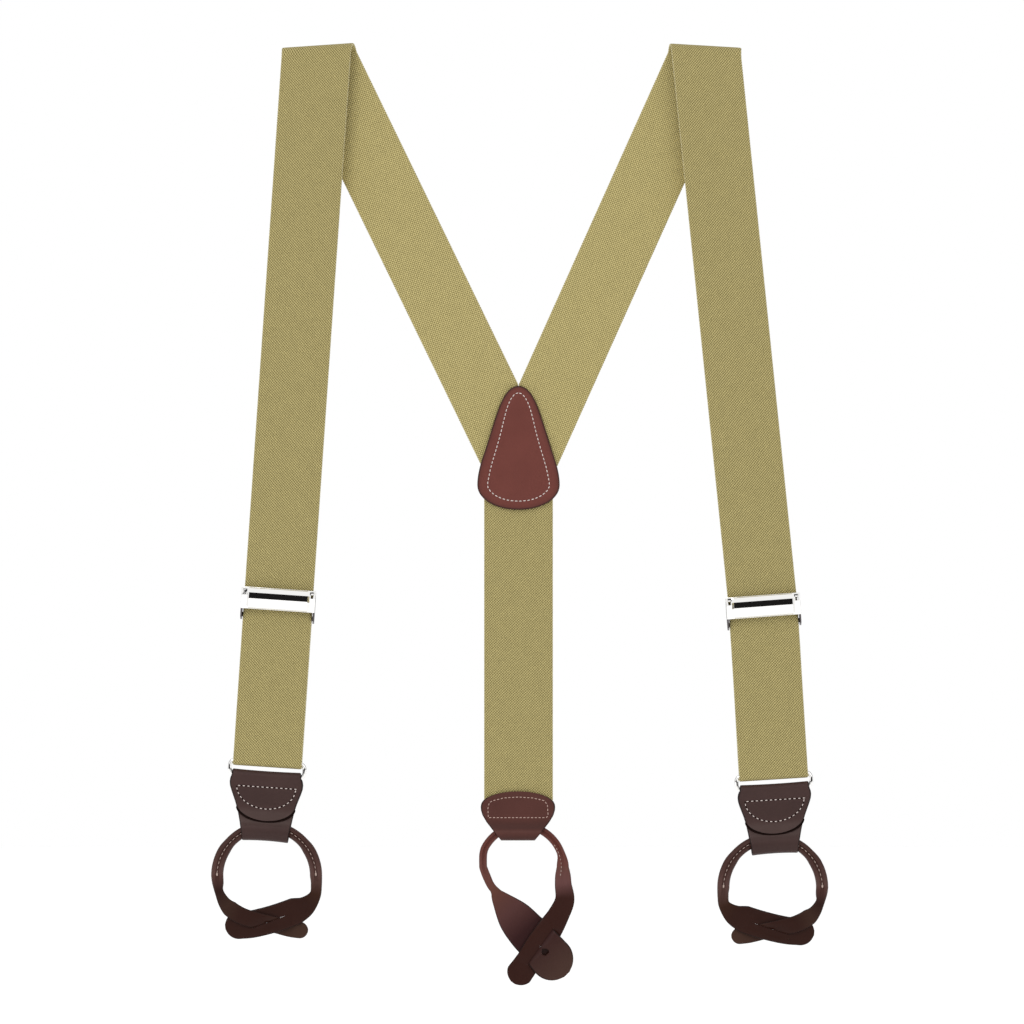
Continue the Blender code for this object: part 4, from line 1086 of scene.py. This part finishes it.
def slit_gap(slit, centre, run, across):
    """A slit's half opening where a row crosses it, or None outside it, and its offset along the row."""
    if not slit:
        return None, 0.0
    first, last, eye = slit
    a, b = Vector((first[0], 0, first[1])) * MM, Vector((last[0], 0, last[1])) * MM
    line = b - a
    share = (centre - a).dot(run) / line.dot(run)
    beyond = max(-share, share - 1, 0.0) * line.length
    meeting = a + line * max(0.0, min(1.0, share))
    shift = (meeting - centre).dot(across) * max(0.0, 1 - beyond / SLIT_EASE)
    near = (centre - b).length
    if eye and near < eye * MM:
        return max(math.sqrt((eye * MM) ** 2 - near**2), 0.1 * MM), shift
    if 0 <= share <= 1:
        return SLIT_HALF + SLIT_BOW * math.sin(math.pi * share), shift
    return None, shift


OUTER_LEG = [(-27.3, 0, 3.4), (-26.9, -3.9, 3.2), (-26.2, -8.5, 2.5), (-23.2, -14.3, 3.5)]
OUTER_LEG += [(-19.2, -18.2, 4.8), (-13.0, -21.6, 5.1), (-5.3, -23.9, 5.5), (4.5, -26.3, 6.0)]
OUTER_LEG += [(13.5, -28.6, 5.6), (22.8, -29.6, 4.6)]
INNER_LEG = [(27.3, 0, 3.4), (27.5, -4.7, 3.1), (26.7, -10.5, 3.3), (21.9, -16.0, 5.6), (15.2, -19.2, 7.8)]
INNER_LEG += [(4.0, -23.0, 11.1), (-7.5, -25.8, 10.3), (-15.0, -26.5, 8.4), (-22.9, -27.3, 7.6)]
INNER_SLIT = ((11.4, -21.0), (-8.4, -28.2))
OUTER_SLIT = ((-3.0, -24.5), (9.0, -27.3))
# dye added to the darkest brown: on the cords, then at distances along the legs, in mm; along the outer
# and rear legs it also holds painted highlights and painted shade, darker where the legs cross
FRONT_CORD_DYE = (0.034, 0.018, 0.015)
REAR_CORD_DYE = (0.092, 0.028, 0.022)
OUTER_DYE_AND_SHADING = [(0, 0.060, 0.030, 0.026), (9, 0.0, 0.0, 0.0), (18, 0.015, 0.010, 0.006)]
OUTER_DYE_AND_SHADING += [(27, 0.003, 0.001, 0.0), (40, 0.003, 0.001, 0.0), (60, 0.026, 0.016, 0.010)]
INNER_DYES = [(0, 0.066, 0.038, 0.034), (11, 0.010, 0.004, 0.0), (18, 0.003, 0.001, 0.0)]
REAR_LEFT_DYE_AND_SHADING = [(0, 0.110, 0.040, 0.034), (15, 0.086, 0.034, 0.024), (29, 0.056, 0.024, 0.023)]
REAR_LEFT_DYE_AND_SHADING += [(43, 0.007, 0.001, 0.003), (50, 0.007, 0.001, 0.003), (72, 0.034, 0.021, 0.016)]
REAR_RIGHT_DYE_AND_SHADING = [(0, 0.105, 0.045, 0.037), (10, 0.095, 0.042, 0.041), (18, 0.009, 0.002, 0.001)]
REAR_RIGHT_DYE_AND_SHADING += [(66, 0.006, 0.001, 0.0)]
ARCH_FADE = 14.0
# the height of the outer leg's tip that leg_lift moves
LEG_FOOT = -29.8 * MM
# how far the leg that goes through a slit and the slit's own leg stand off their plane, in mm
THROUGH_LIFT, THROUGH_RAMP = 1.75, 1.3
SLIT_LIFT, SLIT_RAMP = 0.85, 0.4
FRONT_SEAM_TURNS = (("left", 118, 178), ("right", 62, 2))
# half length, half width and half height of the knot at the end of a cord's seam
KNOT = (Vector((0, 0, 0.9 * MM)), Vector((0.5 * MM, 0, 0)), FRONT_NORMAL * 0.35 * MM)


def crossing(slit, through, reach, sign):
    """How far each leg stands off its plane, in mm: the leg named through passes the other's slit."""
    a, b = (Vector(point) for point in slit)
    middle, run = (a + b) / 2, (a - b).normalized()
    rise = Vector((-run.y, run.x))
    if rise.y < 0:
        rise = -rise

    def depth(key, x, z):
        offset = Vector((x, z)) - middle
        v, along = offset.dot(rise), offset.dot(run)
        if key == through:
            return sign * THROUGH_LIFT * math.tanh(v / THROUGH_RAMP)
        window = max(0.0, 1 - (abs(along) / reach) ** 4)
        return -sign * SLIT_LIFT * math.tanh(v / SLIT_RAMP) * window

    return depth


def front_swell(a):
    """The front cord is broader towards both feet of its arch."""
    return 0.45 * smoothstep((abs(a - 90) - 46) / 14), 0.0


def rear_swell(a):
    """The rear cord is broader at its right foot, and both feet stand a little off the arch."""
    shift = 1.6 * smoothstep((a - 150) / 30) - 0.3 * smoothstep((20 - a) / 20)
    return 1.2 * smoothstep((22 - a) / 22), shift


def front_button_strap(word, side):
    """The button strap under a front tab: the outer leg goes through the inner leg's slit."""
    s = side["sign"]
    stretch = 1 + side["leg_lift"] / LEG_FOOT
    place = Matrix.Translation((s * side["arch_out"], CHAIN_Y, side["arch_z"]))
    outer, inner = ([(-s * x, z * stretch, w) for x, z, w in leg] for leg in (OUTER_LEG, INNER_LEG))
    slit_in, slit_out = ([(-s * x, z * stretch) for x, z in slit] for slit in (INNER_SLIT, OUTER_SLIT))
    outer_key, inner_key = ("left", "right") if s < 0 else ("right", "left")
    legs = {outer_key: outer, inner_key: inner}
    slits = {outer_key: (*slit_out, 0), inner_key: (*slit_in, 0)}

    def tint(key, away, z):
        leg_tones = OUTER_DYE_AND_SHADING if key == outer_key else INNER_DYES
        return tone_mix(tone_at(leg_tones, away), FRONT_CORD_DYE, z / ARCH_FADE)

    depth = crossing(slit_in, outer_key, 12.0, -1)
    button_strap(word, place, FRONT_ARCH_R, FRONT_CORD_R, legs, slits, depth, tint, front_swell)
    body = f"{word}_button_end"
    for tag, start, end in FRONT_SEAM_TURNS:
        arc = arc_points((0, 0), FRONT_ARCH_R, start, end, 24)
        points = [place @ Vector((x, -FRONT_CORD_R, z)) for x, z in arc]
        name = f"{word}_cord_{tag}"
        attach(stitches(f"{name}_stitches", points, FRONT_CORD_SEAM, TAN_THREAD, -0.25 * MM), body)
        bm = bmesh.new()
        add_stitch(bm, points[-1], *KNOT)
        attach(finish_mesh(f"{name}_knot", bm, TAN_THREAD, 80), body)


REAR_LEFT = [(-21.4, 0, 2.2), (-19.8, -4.4, 2.3), (-17.4, -9.8, 2.2), (-14.9, -13.2, 2.5)]
REAR_LEFT += [(-12.3, -17.3, 4.7), (-4.9, -26.5, 9.4), (2.3, -35.0, 11.0), (9.5, -42.5, 11.5)]
REAR_LEFT += [(16.5, -50.5, 12.0), (25.0, -59.2, 12.0)]
REAR_RIGHT = [(22.7, 0, 3.4), (22.8, -4.4, 4.3), (23.0, -9.9, 4.7), (23.8, -18.2, 5.4), (20.5, -26.2, 6.0)]
REAR_RIGHT += [(15.0, -35.2, 7.2), (8.9, -44.2, 7.5), (3.4, -52.5, 7.1), (-4.9, -64.0, 7.7)]
REAR_RIGHT_SLIT = ((17.8, -33.4), (2.9, -54.3))
REAR_LEFT_SLIT = ((7.0, -40.4), (13.0, -46.9))
BUTTON_EYE = 2.1
REAR_SEAM_R = 21.9


def rear_button_strap():
    """The button strap under the rear tab: the left leg comes up through the right leg's slit."""
    slits = {"right": (*REAR_RIGHT_SLIT, 0), "left": (*REAR_LEFT_SLIT, BUTTON_EYE)}

    def tint(key, away, z):
        leg_tones = REAR_RIGHT_DYE_AND_SHADING if key == "right" else REAR_LEFT_DYE_AND_SHADING
        return tone_mix(tone_at(leg_tones, away), REAR_CORD_DYE, z / ARCH_FADE)

    place = Matrix.Translation(REAR_ARCH)
    depth = crossing(REAR_RIGHT_SLIT, "left", 13.5, 1)
    legs = {"left": REAR_LEFT, "right": REAR_RIGHT}
    button_strap("rear", place, REAR_ARCH_R, REAR_CORD_R, legs, slits, depth, tint, rear_swell)
    line = arc_points((0, 0), REAR_SEAM_R, 36, 0, 9) + [(21.7, -2.5), (21.2, -5.0)]
    points = [place @ (Vector((x, -2.0, z)) * MM) for x, z in line]
    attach(stitches("rear_cord_stitches", points, REAR_CORD_SEAM, TAN_THREAD, 0.0), "rear_button_end")


# ---- metal --------------------------------------------------------------------------------------------

WIRE_R = 1.05 * MM
RING_HALF = 20.6 * MM
RING_CORNER = 3.0 * MM


def wire_ring(word, side):
    """The rectangle of round wire that joins web and tab."""
    w, h, r = RING_HALF - RING_CORNER, RING_DROP / 2 - RING_CORNER, RING_CORNER
    points = arc_points((w, h), r, 90, 0, 10) + arc_points((w, -h), r, 0, -90, 10)
    points += arc_points((-w, -h), r, -90, -180, 10) + arc_points((-w, h), r, 180, 90, 10)
    place = bar_frame(side) @ Matrix.Translation((0, 0, -RING_DROP / 2))
    bm = bmesh.new()
    rings = []
    turned = place.to_3x3()
    for i, (x, z) in enumerate(points):
        a, b = points[i - 1], points[(i + 1) % len(points)]
        run = Vector((b[0] - a[0], 0, b[1] - a[1])).normalized()
        out = turned @ Vector((run.z, 0, -run.x)) * WIRE_R
        rings.append(tube_ring(bm, place @ Vector((x, 0, z)), out, Vector((0, WIRE_R, 0)), 16))
    skin(bm, rings, closed=True)
    obj = finish_mesh(f"{word}_ring_wire", bm, NICKEL)
    stand_for(obj, f"{word}_ring_link", f"{word}_ring")


COVER_Y = -14.5 * MM
SHEET = 0.8 * MM
SHEET_PROFILE = [(0.0, 6.0), (-0.45, 6.0), (-0.8, 1.6), (-0.3, -6.0), (0.0, -6.0)]
# height up the cover and depth in front of its sheet, in mm: a steep lip, a flat face and a long lower slope
PILLOW = [(5.75, -0.2), (5.45, 0.15), (5.2, 0.35), (3.25, 1.1), (3.0, 1.18), (-0.2, 1.2), (-0.6, 1.16)]
PILLOW += [(-4.6, 0.62), (-5.1, 0.45), (-5.5, 0.1), (-5.7, -0.2)]
COVER_HALF = 20.45
PILLOW_ENDS = ((-17.3, 0.0), (-16.2, 1.0), (16.2, 1.0), (17.3, 0.0))
WINDOW_X, WINDOW_Z = 18.6 * MM, 3.1 * MM
WINDOW = Vector((1.5 * MM, 4.0 * MM, 2.8 * MM))
KNUCKLES = ((-19.2, -7.2), (-6.6, 6.6), (7.2, 19.2))
JAW_Z = (-4.8, -3.6)
JAW_TEETH, JAW_HALF, TOOTH_ROOT, TOOTH_TIP = 11, 17.0, 1.6, 2.6


def extruded(bm, outline, start, end, basis):
    """A prism in bm: outline holds (y, z) pairs in millimetres, drawn from x = start to x = end."""
    skin(bm, [[bm.verts.new(basis @ (Vector((x, y, z)) * MM)) for y, z in outline] for x in (start, end)])


def cover_sheet(word, place):
    """The hinged sheet with a window cut through near each end."""
    bm = bmesh.new()
    extruded(bm, [(COVER_Y / MM + y, z) for y, z in SHEET_PROFILE], -COVER_HALF, COVER_HALF, place)
    sheet = finish_mesh(f"{word}_cover_sheet", bm, NICKEL, 3)
    bm = bmesh.new()
    for s in (-1, 1):
        spot = Matrix.Translation((s * WINDOW_X, COVER_Y, WINDOW_Z)) @ Matrix.Diagonal((*WINDOW, 1.0))
        bmesh.ops.create_cube(bm, size=1.0, matrix=place @ spot)
    window = finish_mesh(f"{word}_window_cutter", bm, NICKEL)
    window.hide_render = True
    window.display_type = "WIRE"
    cut = sheet.modifiers.new("windows", "BOOLEAN")
    cut.operation = "DIFFERENCE"
    cut.solver = "EXACT"
    cut.object = window
    bevel = sheet.modifiers.new("edges", "BEVEL")
    bevel.width = 0.28 * MM
    bevel.segments = 3
    bevel.limit_method = "ANGLE"
    stand_for(sheet, f"{word}_lever", f"{word}_adjuster_lever")


def adjuster_cover(word, side):
    """The hinged cover: sheet, raised middle, knuckles round the pin and toothed jaw."""
    place, body = adjuster_frame(side), f"{word}_lever"
    cover_sheet(word, place)
    bm = bmesh.new()
    columns = []
    for x, share in PILLOW_ENDS:
        column = []
        for z, rise in PILLOW:
            lift = rise * share if rise > 0 else rise
            height = z * (1.0 if share else 0.93)
            column.append(bm.verts.new(place @ Vector((x * MM, COVER_Y - SHEET - lift * MM, height * MM))))
        columns.append(column)
    skin(bm, columns)
    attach(finish_mesh(f"{word}_cover_pillow", bm, NICKEL, 3), body)
    pin = (PIN.y / MM, PIN.z / MM)
    curl = arc_points(pin, 1.25, -60, 210, 20) + arc_points(pin, 0.75, 210, -60, 20)
    bm = bmesh.new()
    for start, end in KNUCKLES:
        extruded(bm, curl, start, end, place)
    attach(finish_mesh(f"{word}_cover_knuckles", bm, NICKEL, 40), body)
    edge, pitch = [(-JAW_HALF, -0.3)], 2 * JAW_HALF / JAW_TEETH
    for i in range(JAW_TEETH):
        edge += [(-JAW_HALF + pitch * i, TOOTH_ROOT), (-JAW_HALF + pitch * (i + 0.5), TOOTH_TIP)]
    edge += [(JAW_HALF, TOOTH_ROOT), (JAW_HALF, -0.3)]
    bm = bmesh.new()
    loops = []
    for z in JAW_Z:
        loops.append([bm.verts.new(place @ Vector((x * MM, COVER_Y + y * MM, z * MM))) for x, y in edge])
    skin(bm, loops)
    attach(finish_mesh(f"{word}_cover_jaw", bm, NICKEL, 20), body)


# ---- assembly -----------------------------------------------------------------------------------------

crosspatch()
centre_web()
rear_tab()
rear_button_strap()
for word, side in SIDES.items():
    shoulder_web(word, side)
    run_so_far = front_web(word, side)
    return_web(word, side, run_so_far)
    hem_web(word, side)
    wire_ring(word, side)
    front_tab(word, side)
    front_button_strap(word, side)
    adjuster_cover(word, side)
    # the frames take the near-black nickel, which is painted shade
    for part in ("adjuster_frame", "adjuster_pin"):
        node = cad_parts[f"{word}_{part}"]
        node.data.materials.clear()
        node.data.materials.append(SHADED_NICKEL if part == "adjuster_frame" else NICKEL)

# ---- stage, light and camera --------------------------------------------------------------------------

AMBIENT = 0.78
WHITE = (1.0, 1.0, 1.0)
SLOT_COLOUR = (0.012, 0.011, 0.011)
# as parts of a unit direction: the dark slot's half height and its side, and the dark beyond the part
SLOT_LOW, SLOT_HIGH, SLOT_DEPTH = 0.05, 0.10, -0.3
BEHIND_LOW, BEHIND_HIGH, BEHIND_SHARE = 0.05, 0.45, 0.75
MIDDLE_OF_PART = Vector((0, 0, -0.03))
FLOOR_Z = -0.345
FLOOR_HALF = 2.0


def soft_world():
    """White surroundings for the camera; other rays also meet dark slots.

    One is level with the camera and behind it, and mirrors see the side behind the part as dark as well.
    """
    world = bpy.data.worlds.new("studio")
    world.use_nodes = True
    n = Nodes(world.node_tree)
    path = n.add("ShaderNodeLightPath").outputs
    generated = n.add("ShaderNodeTexCoord").outputs["Generated"]
    _, depth, level = n.add("ShaderNodeSeparateXYZ", ((0, generated),)).outputs
    low = n.ramp(n.math("ABSOLUTE", level), SLOT_LOW, SLOT_HIGH, 1.0, 0.0)
    slot = n.math("MULTIPLY", low, n.math("LESS_THAN", depth, SLOT_DEPTH))
    slot = n.math("MULTIPLY", slot, n.math("SUBTRACT", 1.0, path["Is Camera Ray"]))
    behind = n.ramp(depth, BEHIND_LOW, BEHIND_HIGH, 0.0, BEHIND_SHARE)
    behind = n.math("MULTIPLY", behind, path["Is Glossy Ray"])
    colour = n.mix(n.math("MAXIMUM", slot, behind), WHITE, SLOT_COLOUR)
    seen = n.math("MAXIMUM", path["Is Camera Ray"], path["Is Glossy Ray"])
    strength = n.math("MULTIPLY_ADD", seen, 1.0 - AMBIENT, AMBIENT)
    background = n.tree.nodes["Background"]
    n.tree.links.new(colour, background.inputs["Color"])
    n.tree.links.new(strength, background.inputs["Strength"])
    bpy.context.scene.world = world


def area_light(name, location, size, energy):
    """A soft square lamp aimed at the middle of the part."""
    data = bpy.data.lights.new(name, "AREA")
    data.shape = "SQUARE"
    data.size = size
    data.energy = energy
    lamp = put(name, data)
    lamp.location = location
    lamp.rotation_euler = (MIDDLE_OF_PART - Vector(location)).to_track_quat("-Z", "Y").to_euler()


def floor():
    """A pale floor under the hanging straps."""
    bm = bmesh.new()
    place = Matrix.Translation((0, 0, FLOOR_Z))
    bmesh.ops.create_grid(bm, x_segments=1, y_segments=1, size=FLOOR_HALF, matrix=place)
    n = Surface("floor_white", (0.99, 0.99, 0.99), 0.9)
    n.set(("Emission Color", (*WHITE, 1.0)), ("Emission Strength", 0.22))
    mesh = bpy.data.meshes.new("floor")
    bm.to_mesh(mesh)
    bm.free()
    mesh.materials.append(n.material)
    put("floor", mesh)


soft_world()
floor()
bpy.context.scene.view_settings.view_transform = "Standard"
area_light("key", (-0.9, -1.6, 1.3), size=1.0, energy=12.0)
area_light("fill", (1.2, -1.4, 0.5), size=1.2, energy=2.5)
camera = put("camera", bpy.data.cameras.new("camera"))
camera.data.lens = 190.0
camera.data.sensor_width = 36.0
camera.data.clip_end = 100.0
camera.location = (-3.6 * MM, -2.995, -35.5 * MM)
camera.rotation_euler = (math.pi / 2, 0, 0)
bpy.context.scene.camera = camera
